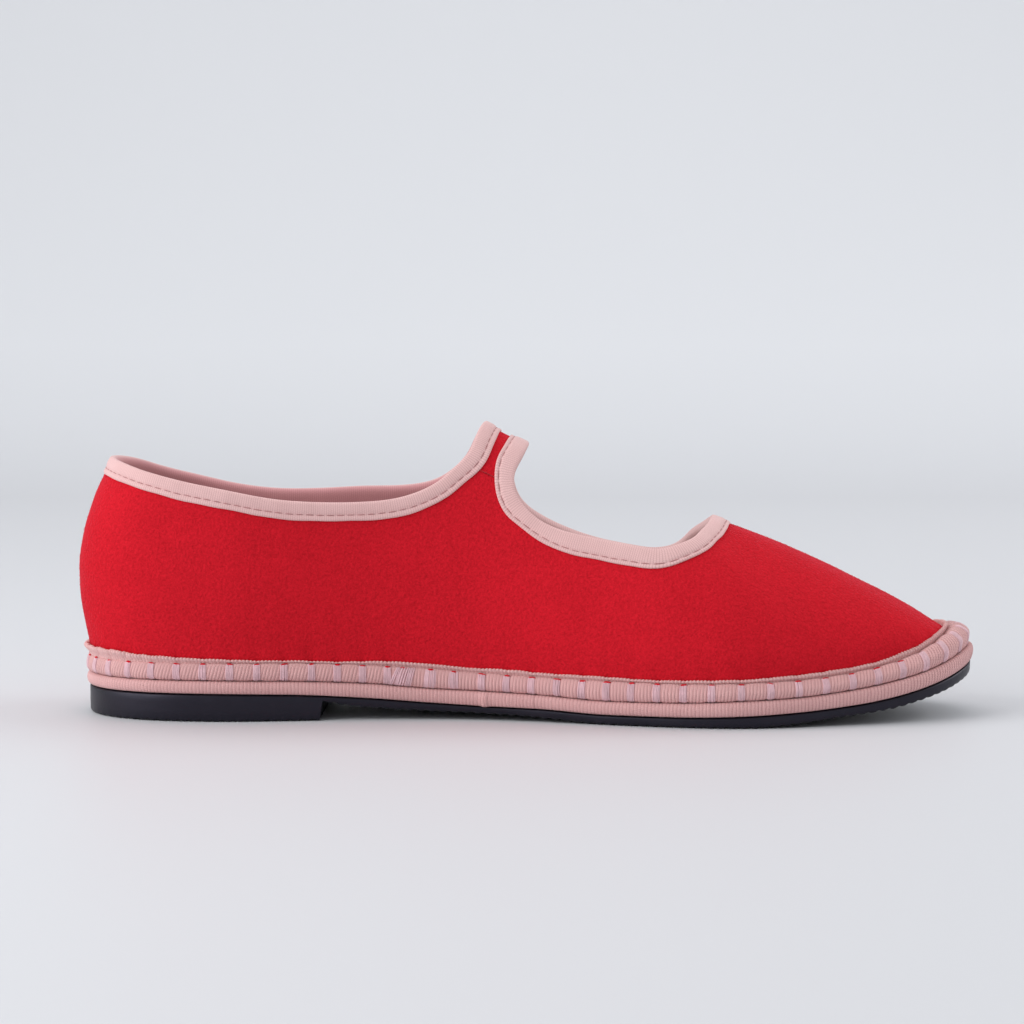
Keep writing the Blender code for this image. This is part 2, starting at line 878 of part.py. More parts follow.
def smoothed_angles(angles):
    """Angles of the columns at the feather: the top ones, evened out."""
    full = 2 * HALF_TURN
    even = angles.copy()
    for _ in range(14):
        before = np.roll(even, 1)
        before[0] += full
        after = np.roll(even, -1)
        after[-1] -= full
        even = 0.5 * even + 0.25 * (before + after)
    return even


def make_upper(plan):
    """Velvet shell: outer skin, rim, inner skin and bottom edge in one closed body."""
    top = upper_top(plan)
    feet = smoothed_angles(top[:, 0])
    tucked_offset = FEATHER_INSET(turn_from_heel(feet)) + UPPER_TUCK
    rows = []
    flat = edge_point(feet, -tucked_offset)
    low = BAND_TOP(flat[:, 0]) + GAP
    rows.append(np.concatenate([flat, low[:, None]], -1))
    for share in UPPER_ROWS:
        angle = feet + (top[:, 0] - feet) * share
        rise = top[:, 1] * share
        rows.append(last_surface(angle, rise))
    for share in reversed(UPPER_ROWS):
        angle = feet + (top[:, 0] - feet) * share
        rise = top[:, 1] * share
        rows.append(offset_surface(angle, rise, np.full(len(feet), -WALL)))
    flat = edge_point(feet, -tucked_offset - WALL)
    rows.append(np.concatenate([flat, low[:, None]], -1))
    grid = np.stack(rows, 1)
    return ring_solid("upper", grid)


def strap_edges(plan):
    """Covered edges of the strap from the inner seam to the outer seam."""
    rear_near = covered_edge(plan["collar"], plan["collar_strap_near"], COLLAR_SIDE)[::-1]
    front_near = covered_edge(plan["throat"], plan["throat_strap_near"], THROAT_SIDE)[::-1]
    rear_far = covered_edge(plan["collar"], plan["collar_strap_far"], COLLAR_SIDE)[::-1]
    front_far = covered_edge(plan["throat"], plan["throat_strap_far"], THROAT_SIDE)[::-1]
    rear_far = np.stack([-rear_far[:, 0], HALF_TURN - rear_far[:, 1]], -1)
    front_far_turn = front_far[:, 0] + 2 * HALF_TURN
    front_far = np.stack([-front_far_turn, HALF_TURN - front_far[:, 1]], -1)
    rear = np.concatenate([rear_near, rear_far[1:]])
    front = np.concatenate([front_near, front_far[1:]])
    return rear, front


def make_strap(plan):
    """Velvet bar over the instep between the two seams."""
    rear, front = strap_edges(plan)
    shares = np.linspace(0.0, 1.0, STRAP_ACROSS)
    knots = rear[:, None, :] + (front - rear)[:, None, :] * shares[None, :, None]
    first = last_surface(knots[0, :, 0], knots[0, :, 1])
    second = last_surface(knots[1, :, 0], knots[1, :, 1])
    start_share = GAP / np.linalg.norm(second - first, axis=-1)[:, None]
    knots[0] = knots[0] + (knots[1] - knots[0]) * start_share
    last = last_surface(knots[-1, :, 0], knots[-1, :, 1])
    ahead = last_surface(knots[-2, :, 0], knots[-2, :, 1])
    end_share = GAP / np.linalg.norm(ahead - last, axis=-1)[:, None]
    knots[-1] = knots[-1] + (knots[-2] - knots[-1]) * end_share
    rows, columns, _ = knots.shape
    angle = knots[..., 0].ravel()
    rise = knots[..., 1].ravel()
    outer = last_surface(angle, rise)
    inner = offset_surface(angle, rise, np.full(len(angle), -WALL))
    points = np.concatenate([outer, inner])
    count = rows * columns
    faces = triangles_between(rows, columns, False)
    faces += [tuple(corner + count for corner in reversed(face)) for face in faces[:]]
    border = [column for column in range(columns)]
    border += [row * columns + columns - 1 for row in range(1, rows)]
    border += [(rows - 1) * columns + column for column in reversed(range(columns - 1))]
    border += [row * columns for row in reversed(range(1, rows - 1))]
    for index, corner in enumerate(border):
        following = border[(index + 1) % len(border)]
        faces.append((following, corner, corner + count))
        faces.append((following, corner + count, following + count))
    return add_solid("strap", points, faces)


def make_binding(name, curve, parts, side, leg):
    """Tape folded over one closed edge."""
    distances = np.concatenate(parts)
    here, before, after = edge_stations(curve, distances, side)
    section = []
    for place, offset in TAPE_SECTION:
        depth = leg if place == LEG_END else place
        section.append(sink(here, before, after, depth, offset)[1])
    return ring_solid(name, np.stack(section, 1))


def build():
    """Make every piece of the shoe."""
    for item in list(bpy.data.objects):
        bpy.data.objects.remove(item, do_unlink=True)
    plan = edge_plan()
    make_outsole()
    make_midsole()
    make_insole()
    make_edge_roll()
    make_upper(plan)
    make_strap(plan)
    collar_parts = [
        plan["collar_strap_near"][:-1],
        plan["collar_upper"][:-1],
        plan["collar_strap_far"][:-1],
    ]
    throat_parts = [
        plan["throat_strap_near"][:-1],
        plan["throat_upper"][:-1],
        plan["throat_strap_far"][:-1],
    ]
    make_binding("collar_binding", plan["collar"], collar_parts, COLLAR_SIDE, COLLAR_LEG)
    make_binding("throat_binding", plan["throat"], throat_parts, THROAT_SIDE, THROAT_LEG)


build()
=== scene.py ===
"""Looks of the mary jane flat: velvet, ribbon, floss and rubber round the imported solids.

The last's tables are those of the solids, so every visible piece lies where its solid
does; only the front of the throat is eased onto a smoother line, within half a millimetre.
Tables are in millimetres and degrees, bumps, lights and backdrop in metres.
"""
import math

import bpy
import numpy as np
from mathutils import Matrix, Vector

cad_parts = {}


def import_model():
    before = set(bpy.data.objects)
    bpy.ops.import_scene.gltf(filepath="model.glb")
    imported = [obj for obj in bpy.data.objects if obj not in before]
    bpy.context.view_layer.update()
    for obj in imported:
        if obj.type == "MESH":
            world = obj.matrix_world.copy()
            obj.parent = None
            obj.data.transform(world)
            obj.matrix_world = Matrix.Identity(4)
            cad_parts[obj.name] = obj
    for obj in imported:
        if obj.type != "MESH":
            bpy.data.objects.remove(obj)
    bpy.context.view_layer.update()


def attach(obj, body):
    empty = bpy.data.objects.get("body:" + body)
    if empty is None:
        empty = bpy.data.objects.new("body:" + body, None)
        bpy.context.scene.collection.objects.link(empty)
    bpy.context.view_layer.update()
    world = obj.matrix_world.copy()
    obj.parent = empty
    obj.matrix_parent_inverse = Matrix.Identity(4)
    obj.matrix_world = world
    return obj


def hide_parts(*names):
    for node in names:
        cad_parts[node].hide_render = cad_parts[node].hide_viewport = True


MILLIMETRE = 0.001
HALF_TURN = math.pi
QUARTER_TURN = math.pi / 2
FULL_TURN = 2 * math.pi

# Sole size: heel and toe ends of the pink band, and its width at the ball
HEEL_END = -123.4
TOE_END = 125.2
BALL_WIDTH = 86.0
SOLE_MIDDLE = (HEEL_END + TOE_END) / 2
SOLE_REACH = (TOE_END - HEEL_END) / 2

# Clearance between curved pieces and thickness of the materials
GAP = 0.30
WALL = 1.60
INSOLE_THICKNESS = 2.5
INSOLE_EASE = 0.6
UPPER_TUCK = 2.6
COLLAR_LEG = 5.1
THROAT_LEG = 5.8
EDGE_COVER = 1.0

# Roll: width at the heel, share of its extra width behind the band's edge, foot tucked in,
# clearance to the velvet at its crest and below it
NARROW_ROLL = 1.6
ROLL_SET_BACK = 0.19
ROLL_FOOT = 1.1
CREST_EASE = 0.38
ROLL_EASE = 0.45

# Heel breast: where the moulded heel stops under the waist
BREAST_REAR = -56.8
BREAST_FRONT = -55.6

# Sole edge seen from above, outer side: share of length, share of ball width
OUTER_EDGE = (
    (0.000, 0.000),
    (0.030, 0.218),
    (0.085, 0.320),
    (0.180, 0.358),
    (0.400, 0.400),
    (0.630, 0.500),
    (0.790, 0.440),
    (0.900, 0.320),
    (0.962, 0.205),
    (1.000, -0.050),
)

# Sole edge seen from above, inner side: share of length, share of ball width
INNER_EDGE = (
    (0.025, -0.200),
    (0.080, -0.305),
    (0.180, -0.342),
    (0.440, -0.300),
    (0.590, -0.420),
    (0.720, -0.500),
    (0.840, -0.435),
    (0.920, -0.360),
    (0.975, -0.240),
)

# Layers of the sole: along, top of the rubber, top of the band, top of the roll
LAYERS = (
    (-124.0, 7.60, 11.30, 16.00),
    (-95.0, 7.60, 11.30, 16.00),
    (-66.0, 7.20, 11.00, 15.90),
    (-44.0, 5.95, 10.10, 15.05),
    (-26.0, 4.55, 8.60, 13.90),
    (-12.0, 3.80, 8.00, 12.85),
    (4.0, 3.45, 7.40, 12.15),
    (22.0, 2.65, 6.45, 11.80),
    (40.0, 2.70, 6.65, 11.65),
    (57.0, 3.12, 7.35, 11.95),
    (74.0, 4.00, 8.15, 12.60),
    (84.0, 4.85, 9.10, 13.50),
    (92.0, 5.78, 10.15, 14.65),
    (100.0, 7.15, 11.60, 16.40),
    (108.0, 9.00, 13.45, 18.95),
    (116.0, 11.40, 16.00, 22.70),
    (120.0, 12.95, 17.75, 24.75),
    (125.2, 15.25, 19.95, 27.00),
)

# Underside of the rubber ahead of the heel: along, height
UNDERSIDE = (
    (-60.0, 5.20),
    (-54.0, 4.80),
    (-48.0, 3.70),
    (-36.0, 2.75),
    (-22.0, 2.05),
    (-8.0, 1.60),
    (4.0, 1.05),
    (13.0, 0.40),
    (22.0, 0.00),
    (60.0, 0.00),
    (68.0, 0.35),
    (76.0, 1.15),
    (84.0, 2.10),
    (92.0, 2.95),
    (100.0, 4.10),
    (108.0, 5.90),
    (115.0, 7.80),
    (120.0, 9.60),
    (125.2, 11.80),
)

# Last shape round the foot: angle from the heel, feather inset, boxiness,
# swell beyond the feather, height of the swell, drop of the apex
LAST = (
    (0.0, 1.6, 2.60, 5.2, 34.0, 9.4),
    (22.0, 1.6, 2.50, 4.6, 33.0, 8.4),
    (42.0, 1.9, 2.25, 3.0, 29.0, 4.0),
    (60.0, 2.2, 2.15, 2.0, 23.0, 0.0),
    (80.0, 2.5, 2.00, 1.7, 15.0, 0.0),
    (92.0, 2.7, 2.05, 1.6, 12.0, 0.0),
    (107.0, 3.0, 2.15, 1.8, 10.0, 0.0),
    (125.0, 3.5, 2.10, 1.9, 9.0, 0.0),
    (145.0, 4.9, 2.40, 1.4, 8.0, 0.0),
    (164.0, 7.2, 3.40, 0.5, 6.0, 0.0),
    (180.0, 8.4, 4.50, 0.0, 6.0, 0.0),
)

# Ridge of the last over the instep
RIDGE_REAR = -60.0
RIDGE_FRONT = 30.0
RIDGE_SOFTNESS = 7.0

# Height of the ridge over the instep and down the vamp: along, height
RIDGE = (
    (-60.0, 104.5),
    (-12.0, 80.6),
    (0.8, 74.3),
    (30.0, 61.2),
    (44.0, 56.8),
    (56.0, 52.9),
    (66.0, 49.4),
    (77.0, 45.1),
    (87.0, 40.7),
    (97.0, 36.2),
    (106.6, 31.7),
    (117.0, 24.6),
    (126.0, 18.3),
)

# Sideways place of the ridge: along, across
RIDGE_PLACE = (
    (-60.0, 0.0),
    (-12.0, 0.6),
    (30.0, -3.0),
)

# Finished collar edge, inner side: along, height
COLLAR_INNER = (
    (-110.7, 70.1),
    (-102.0, 67.7),
    (-92.7, 65.5),
    (-83.6, 63.7),
    (-74.7, 61.9),
    (-65.8, 60.5),
    (-56.8, 59.9),
    (-43.9, 59.9),
    (-37.2, 60.5),
    (-30.2, 62.3),
    (-24.2, 65.3),
    (-20.2, 68.6),
    (-16.5, 72.2),
    (-14.2, 76.7),
)

# Finished collar edge, outer side: along, height
COLLAR_OUTER = (
    (-109.8, 69.5),
    (-102.6, 66.8),
    (-93.3, 64.3),
    (-83.8, 62.1),
    (-74.4, 60.8),
    (-64.5, 60.5),
    (-55.9, 60.8),
    (-46.0, 61.3),
    (-38.8, 61.4),
    (-31.9, 61.9),
    (-25.6, 63.5),
    (-21.0, 66.4),
    (-16.9, 70.9),
    (-14.3, 76.2),
)
COLLAR_BACK_HEIGHT = 71.2
COLLAR_CREST_ALONG = -11.9

# Finished throat edge, inner side: along, height
THROAT_INNER = (
    (-0.9, 71.5),
    (-3.1, 66.9),
    (-2.8, 62.4),
    (-0.4, 58.5),
    (4.7, 54.3),
    (11.8, 51.6),
    (21.4, 49.6),
    (31.2, 47.8),
    (36.6, 47.4),
    (41.4, 48.5),
)

# Finished throat edge, outer side: along, height
THROAT_OUTER = (
    (-0.9, 71.5),
    (-3.1, 66.6),
    (-2.9, 61.6),
    (-0.6, 56.9),
    (4.7, 52.6),
    (11.8, 49.0),
    (21.4, 45.6),
    (31.2, 43.5),
    (37.6, 42.7),
    (42.6, 43.7),
)

# Front of the finished throat edge seen from above: along, across
THROAT_FRONT = (
    (46.0, -23.4),
    (48.6, -17.6),
    (50.7, -11.0),
    (52.1, -3.6),
    (51.9, 3.2),
    (50.9, 9.8),
    (49.4, 16.2),
    (47.0, 22.8),
)

# Coordinates that fix a point: along and height, or along and across
BY_HEIGHT = slice(0, 3, 2)
FROM_ABOVE = slice(0, 2)
THROAT_CREST_ALONG = 0.8

# Heights where the strap seams cross the collar edge and the throat edge
SEAM_AT_COLLAR = 70.6
SEAM_AT_THROAT = 64.4

# Which way round each edge is walked to keep the velvet on the same hand
COLLAR_SIDE = -1
THROAT_SIDE = 1

# Stations along the edges
COLLAR_STATIONS = 47
THROAT_STATIONS = 43
SEAM_STATIONS = 3

# Searches on the last: step for slopes in radians, halvings, and for two given coordinates
# the rounds, first rise, longest move and closeness
NUDGE = 1e-4
HALVINGS = 48
LOCATE_ROUNDS = 60
FIRST_RISE = 0.9
LONGEST_MOVE = 0.12
CLOSE_ENOUGH = 1e-9

# Step along an edge for its direction, samples of its length, degree of the eased front
EDGE_NUDGE = 0.4
EDGE_SAMPLES = 400
EASED_DEGREE = 4


def monotone_curve(rows, column, level_ends=False):
    """Smooth curve through one column of a table, without overshoot."""
    places = np.array([row[0] for row in rows], float)
    values = np.array([row[column] for row in rows], float)
    gaps = np.diff(places)
    slopes = np.diff(values) / gaps
    tangents = np.zeros(len(places))
    for index in range(1, len(places) - 1):
        before = slopes[index - 1]
        after = slopes[index]
        if before * after > 0:
            weight_before = 2 * gaps[index] + gaps[index - 1]
            weight_after = gaps[index] + 2 * gaps[index - 1]
            total = weight_before + weight_after
            tangents[index] = total / (weight_before / before + weight_after / after)
    if not level_ends:
        tangents[0] = slopes[0]
        tangents[-1] = slopes[-1]

    def value(place):
        place = np.clip(np.asarray(place, float), places[0], places[-1])
        cell = np.clip(np.searchsorted(places, place) - 1, 0, len(gaps) - 1)
        gap = gaps[cell]
        share = (place - places[cell]) / gap
        square = share * share
        cube = square * share
        start = (2 * cube - 3 * square + 1) * values[cell]
        start_pull = (cube - 2 * square + share) * gap * tangents[cell]
        end = (3 * square - 2 * cube) * values[cell + 1]
        end_pull = (cube - square) * gap * tangents[cell + 1]
        return start + start_pull + end + end_pull

    return value


def closed_spline(knots, values):
    """Closed cubic spline over one full turn."""
    knots = np.asarray(knots, float)
    values = np.asarray(values, float)
    count = len(knots)
    gaps = np.diff(np.append(knots, knots[0] + FULL_TURN))
    matrix = np.zeros((count, count))
    right = np.zeros(count)
    for index in range(count):
        following = (index + 1) % count
        matrix[index, index - 1] += gaps[index - 1]
        matrix[index, index] += 2 * (gaps[index - 1] + gaps[index])
        matrix[index, following] += gaps[index]
        slope_after = (values[following] - values[index]) / gaps[index]
        slope_before = (values[index] - values[index - 1]) / gaps[index - 1]
        right[index] = 6 * (slope_after - slope_before)
    bends = np.linalg.solve(matrix, right)

    def value(place):
        wrapped = (np.asarray(place, float) - knots[0]) % FULL_TURN + knots[0]
        cell = np.clip(np.searchsorted(knots, wrapped, side="right") - 1, 0, count - 1)
        following = (cell + 1) % count
        gap = gaps[cell]
        after = (wrapped - knots[cell]) / gap
        before = 1 - after
        bend = (before ** 3 - before) * bends[cell] + (after ** 3 - after) * bends[following]
        return before * values[cell] + after * values[following] + bend * gap * gap / 6

    return value


def natural_spline(knots, values):
    """Open cubic spline through knots, straight at both ends."""
    knots = np.asarray(knots, float)
    values = np.asarray(values, float)
    count = len(knots)
    gaps = np.diff(knots)
    matrix = np.eye(count)
    right = np.zeros(values.shape)
    for index in range(1, count - 1):
        matrix[index, index - 1] = gaps[index - 1]
        matrix[index, index] = 2 * (gaps[index - 1] + gaps[index])
        matrix[index, index + 1] = gaps[index]
        slope_after = (values[index + 1] - values[index]) / gaps[index]
        slope_before = (values[index] - values[index - 1]) / gaps[index - 1]
        right[index] = 6 * (slope_after - slope_before)
    bends = np.linalg.solve(matrix, right)

    def value(place):
        place = np.asarray(place, float)
        cell = np.clip(np.searchsorted(knots, place) - 1, 0, count - 2)
        gap = gaps[cell][..., None]
        after = (place[..., None] - knots[cell][..., None]) / gap
        before = 1 - after
        bend = (before ** 3 - before) * bends[cell] + (after ** 3 - after) * bends[cell + 1]
        return before * values[cell] + after * values[cell + 1] + bend * gap * gap / 6

    return value


def edge_knots():
    """Angles and sideways places of the sole edge, inner side first."""
    rows = []
    for share, across in INNER_EDGE:
        rows.append((-math.acos(1 - 2 * share), across * BALL_WIDTH))
    for share, across in OUTER_EDGE:
        rows.append((math.acos(1 - 2 * share), across * BALL_WIDTH))
    rows.sort()
    return rows


EDGE_ROWS = edge_knots()
EDGE_ACROSS = closed_spline([row[0] for row in EDGE_ROWS], [row[1] for row in EDGE_ROWS])
RUBBER_TOP = monotone_curve(LAYERS, 1)
BAND_TOP = monotone_curve(LAYERS, 2)
ROLL_TOP = monotone_curve(LAYERS, 3)
UNDERSIDE_HEIGHT = monotone_curve(UNDERSIDE, 1)
FEATHER_INSET = monotone_curve(LAST, 1, True)
BOXINESS = monotone_curve(LAST, 2, True)
SWELL = monotone_curve(LAST, 3, True)
SWELL_HEIGHT = monotone_curve(LAST, 4, True)
APEX_DROP = monotone_curve(LAST, 5, True)
RIDGE_ACROSS = monotone_curve(RIDGE_PLACE, 1)
RIDGE_HEIGHT = monotone_curve(RIDGE, 1)


def unit(vectors):
    """Directions with a length of one."""
    return vectors / np.linalg.norm(vectors, axis=-1, keepdims=True)


def ramp(value, middle, softness):
    """Smooth step from 0 to 1 round a middle."""
    return 1 / (1 + np.exp((middle - value) / softness))


def hump(value, middle, reach):
    """Smooth hump with a height of 1 round a middle."""
    return np.exp(-((value - middle) / reach) ** 2)


def running_length(points):
    """Distance run at each point of a line."""
    steps = np.linalg.norm(np.diff(points, axis=0), axis=1)
    return np.concatenate([[0.0], np.cumsum(steps)])


def crossing(low, high, short_of):
    """Value between two where a test stops being true, found by halving."""
    for _ in range(HALVINGS):
        middle = (low + high) / 2
        if short_of(middle):
            low = middle
        else:
            high = middle
    return (low + high) / 2


def edge_along(angle):
    """Place along the shoe of the sole edge at an angle from the heel."""
    return SOLE_MIDDLE - SOLE_REACH * np.cos(angle)


def edge_angle(along):
    """Angle from the heel of the sole edge at a place along the shoe, on the outer side."""
    return math.acos((SOLE_MIDDLE - along) / SOLE_REACH)


def edge_place(angle):
    """Flat point of the sole edge."""
    return np.stack([edge_along(angle), EDGE_ACROSS(angle)], -1)


def edge_frame(angle):
    """Point of the sole edge and its outward direction, both flat."""
    angle = np.asarray(angle, float)
    travel = unit(edge_place(angle + NUDGE) - edge_place(angle - NUDGE))
    return edge_place(angle), np.stack([-travel[..., 1], travel[..., 0]], -1)


def edge_point(angle, offset):
    """Flat point at an offset from the sole edge, outward positive."""
    point, outward = edge_frame(angle)
    return point + outward * np.asarray(offset, float)[..., None]


def turn_from_heel(angle):
    """Angle from the heel in degrees, the same on both sides."""
    wrapped = (np.asarray(angle, float) + HALF_TURN) % FULL_TURN - HALF_TURN
    return np.degrees(np.abs(wrapped))


def softplus(value):
    """Smooth ramp that is zero well below zero and straight above it."""
    return np.logaddexp(0.0, value)


def rib_head(angle):
    """Flat point of the last's ridge that a rib rises to."""
    along = edge_along(angle)
    rear = softplus((along - RIDGE_REAR) / RIDGE_SOFTNESS)
    front = softplus((along - RIDGE_FRONT) / RIDGE_SOFTNESS)
    ridge_along = RIDGE_REAR + RIDGE_SOFTNESS * (rear - front)
    return np.stack([ridge_along, RIDGE_ACROSS(ridge_along)], -1)


def feather_point(angle):
    """Point where the upper leaves the roll."""
    flat = edge_point(angle, -FEATHER_INSET(turn_from_heel(angle)))
    height = ROLL_TOP(flat[..., 0])
    return np.concatenate([flat, height[..., None]], -1)


def last_surface(angle, rise):
    """Outer surface of the upper; a rise past a quarter turn crosses the ridge."""
    angle, rise = np.broadcast_arrays(np.asarray(angle, float), np.asarray(rise, float))
    over = rise > QUARTER_TURN
    angle = np.where(over, -angle, angle)
    rise = np.where(over, HALF_TURN - rise, rise)
    foot = feather_point(angle)
    head = rib_head(angle)
    outward = edge_frame(angle)[1]
    turn = turn_from_heel(angle)
    power = BOXINESS(turn)
    across = np.maximum(np.cos(rise), 0.0)
    upward = np.maximum(np.sin(rise), 0.0)
    reach = (across ** power + upward ** power) ** (-1 / power)
    across = across * reach
    upward = upward * reach
    flat = head + (foot[..., :2] - head) * across[..., None]
    under = np.maximum(flat[..., 0], head[..., 0])
    climb = RIDGE_HEIGHT(under) - APEX_DROP(turn) - foot[..., 2]
    swell_share = np.minimum(1.0, upward * climb / SWELL_HEIGHT(turn))
    swell = SWELL(turn) * np.sin(QUARTER_TURN * swell_share) * across
    flat = flat + outward * swell[..., None]
    height = foot[..., 2] + climb * upward
    return np.concatenate([flat, height[..., None]], -1)


def surface_frame(angle, rise):
    """Point, both travel directions and outward normal of the last."""
    point = last_surface(angle, rise)
    along = (last_surface(angle + NUDGE, rise) - last_surface(angle - NUDGE, rise)) / (2 * NUDGE)
    upward = (last_surface(angle, rise + NUDGE) - last_surface(angle, rise - NUDGE)) / (2 * NUDGE)
    return point, along, upward, unit(np.cross(upward, along))


def offset_surface(angle, rise, offset):
    """Point of the last pushed outward by an offset."""
    point, _, _, normal = surface_frame(angle, rise)
    return point + normal * np.asarray(offset, float)[..., None]


def rise_at_height(angle, height):
    """Rise of a rib at a height above the floor."""
    return crossing(0.0, QUARTER_TURN, lambda rise: last_surface(angle, rise)[2] < height)


def ridge_angle(along):
    """Outer side angle whose ridge point has a given place."""
    return crossing(0.0, HALF_TURN, lambda angle: rib_head(angle)[0] < along)


def locate(target, axes, side):
    """Angle and rise of the last's point with two given coordinates, by Newton's method."""
    knot = np.array([side * edge_angle(target[0]), FIRST_RISE])
    for _ in range(LOCATE_ROUNDS):
        here = last_surface(knot[0], knot[1])[axes]
        turned = last_surface(knot[0] + NUDGE, knot[1])[axes]
        raised = last_surface(knot[0], knot[1] + NUDGE)[axes]
        slopes = np.stack([turned - here, raised - here], 1) / NUDGE
        move = np.linalg.solve(slopes, np.array(target) - here)
        size = np.abs(move).max()
        knot = knot + move / max(1.0, size / LONGEST_MOVE)
        if size < CLOSE_ENOUGH:
            break
    return knot[0], knot[1]


def mirrored(knots, turn=0.0):
    """The same knots written on from the other side of the ridge."""
    table = np.asarray(knots)
    return np.stack([turn - table[:, 0], HALF_TURN - table[:, 1]], -1)


def ridge_to_ridge(knots, turn):
    """Spline by distance through an edge's knots, led over the ridge at both ends, and its span."""
    table = np.concatenate([mirrored(knots[-3:-1], turn), knots, mirrored(knots[1:3], turn)])
    distance = running_length(last_surface(table[:, 0], table[:, 1]))
    return natural_spline(distance, table), distance[2], distance[-3]


def collar_curve():
    """Finished collar edge from the ridge down the inner side and back up."""
    crest = ridge_angle(COLLAR_CREST_ALONG)
    inner = [locate(row, BY_HEIGHT, -1.0) for row in reversed(COLLAR_INNER)]
    outer = [locate(row, BY_HEIGHT, 1.0) for row in COLLAR_OUTER]
    back = (0.0, rise_at_height(0.0, COLLAR_BACK_HEIGHT))
    knots = [(-crest, QUARTER_TURN)] + inner + [back] + outer + [(crest, QUARTER_TURN)]
    return ridge_to_ridge(knots, 0.0)


def eased_front():
    """Front of the throat: its table on one smooth line, with twice the points."""
    along, across = np.array(THROAT_FRONT).T
    line = np.polynomial.Polynomial.fit(across, along, EASED_DEGREE)
    places = np.linspace(across[0], across[-1], 2 * len(across) - 1)
    return np.stack([line(places), places], 1)


def throat_curve():
    """Finished throat edge from the ridge down the inner side and back up."""
    crest = ridge_angle(THROAT_CREST_ALONG)
    inner = [locate(row, BY_HEIGHT, -1.0) for row in THROAT_INNER]
    front = [locate(row, FROM_ABOVE, math.copysign(1.0, row[1])) for row in eased_front()]
    outer = [locate(row, BY_HEIGHT, 1.0) for row in reversed(THROAT_OUTER)]
    ahead = [(angle % FULL_TURN - FULL_TURN, rise) for angle, rise in front + outer]
    knots = [(-crest, QUARTER_TURN)] + inner + ahead + [(crest - FULL_TURN, QUARTER_TURN)]
    return ridge_to_ridge(knots, -FULL_TURN)


# Fineness of the visible meshes
FINE_STEPS = 8
VELVET_ROWS = 84
LINING_STEPS = 3
LINING_ROWS = 22
ROUND_STATIONS = 2400
PICOT_STATIONS = 3600
SOLE_STATIONS = 1000
SOLE_STRIPS = 28
INSOLE_STATIONS = 360
INSOLE_STRIPS = 24
BAND_ROWS = 23
ROLL_POINTS = 26
STRAP_STATIONS = 60
STRAP_ROWS = 13
STRAND_SIDES = 6
SLIVER_SIDES = 7
SEAM_SIDES = 5
TAPE_STEP = 0.42
SAMPLES = 4000
SEED = 38

# Rounds that even out the feet of the velvet's columns, with one station for each of the solid's
SMOOTHINGS = 14

# Whip stitches: place along the shoe, distance to the next one
STITCH_PITCH = (
    (-120.0, 7.3),
    (-100.0, 7.5),
    (-76.0, 7.5),
    (-58.0, 7.6),
    (-46.0, 6.9),
    (-30.0, 6.9),
    (-8.0, 6.9),
    (4.0, 7.2),
    (16.0, 6.9),
    (34.0, 7.3),
    (50.0, 8.1),
    (78.0, 7.8),
    (92.0, 7.4),
    (108.0, 7.8),
    (124.0, 7.6),
)

# Angle from the heel where the toe's part of the roll begins
TOE_TURN = 146.0

# Width of a wrap, and its strands
STITCH_WIDTH = 2.05
STRAND_PITCH = 0.41
STRAND_RADIUS = 0.25

# Strands of a wrap: spread of their radius, stray at both ends, lift off the roll, crown of
# the bundle, and how much narrower it gets at the top; slanting bundles stray and lift more
STRAND_THICKNESS = (0.85, 1.12)
STRAND_STRAY = 0.05
STRAND_LIFT = 0.02
BUNDLE_CROWN = 0.10
BUNDLE_TOP = 0.9
SLANT_STRAY = 0.11
SLANT_LIFT = 0.16

# Roll at the wraps: how near, how deep and how it swells between two
PINCH_REACH = 1.2
PINCH_DEPTH = 0.24
PILLOW_HEIGHT = 0.15
PILLOW_ROUNDNESS = 0.7

# Where a wrap lies on the roll: points of the roll's section, first point of the wrap, points
# it can run over, and the share of them that it covers
WRAP_POINTS = 90
WRAP_FOOT = 2
WRAP_SPAN = 50
WRAP_END = 0.84

# Slivers of velvet above the wraps: half length, radius, place on the section
SLIVER_HALF = (0.75, 1.15)
SLIVER_RADIUS = (0.24, 0.36)
SLIVER_PLACE = 0.83

# Where the floss starts and ends at the arch: place, width of the bundle, lean of its strands
FIRST_STITCH = -38.0
LAST_STITCH = -12.3
ARCH_BUNDLES = (
    (-33.6, 5.4, 2.1),
    (-26.3, 3.5, 0.5),
    (-20.0, 2.7, 0.1),
)

# Joint of the band's ribbon at the arch: place, width and height of its ridge, share of the
# height and length where the ribbon lies double, and how far the ridge hangs down
JOINT_PLACE = -11.6
JOINT_WIDTH = 1.1
JOINT_HEIGHT = 0.42
JOINT_DOUBLED = 0.5
JOINT_OVERLAP = 14.0
JOINT_DROP = 0.30

# Section of the band from bottom to top: distance inside its edge, share of its height
BAND_SECTION = (
    (3.5, 0.0),
    (1.5, 0.0),
    (0.85, 0.03),
    (0.42, 0.12),
    (0.14, 0.28),
    (0.02, 0.44),
    (0.0, 0.56),
    (0.10, 0.72),
    (0.34, 0.86),
    (0.80, 0.96),
    (1.5, 1.0),
    (3.5, 1.0),
)

# Section of the roll, outer part: distance behind its edge, share of the slack, of the height
ROLL_OUTSIDE = (
    (ROLL_FOOT, 0.0, 0.00),
    (0.15, 0.0, 0.20),
    (0.0, 0.0, 0.47),
    (0.20, 0.20, 0.72),
    (0.48, 0.45, 0.92),
    (0.96, 0.70, 1.00),
)

# Section of the roll, inner part: share of the tuck, clearance to the velvet, share of the height
ROLL_INSIDE = (
    (0.1, CREST_EASE, 0.92),
    (0.5, ROLL_EASE, 0.50),
    (1.0, ROLL_EASE, 0.00),
)

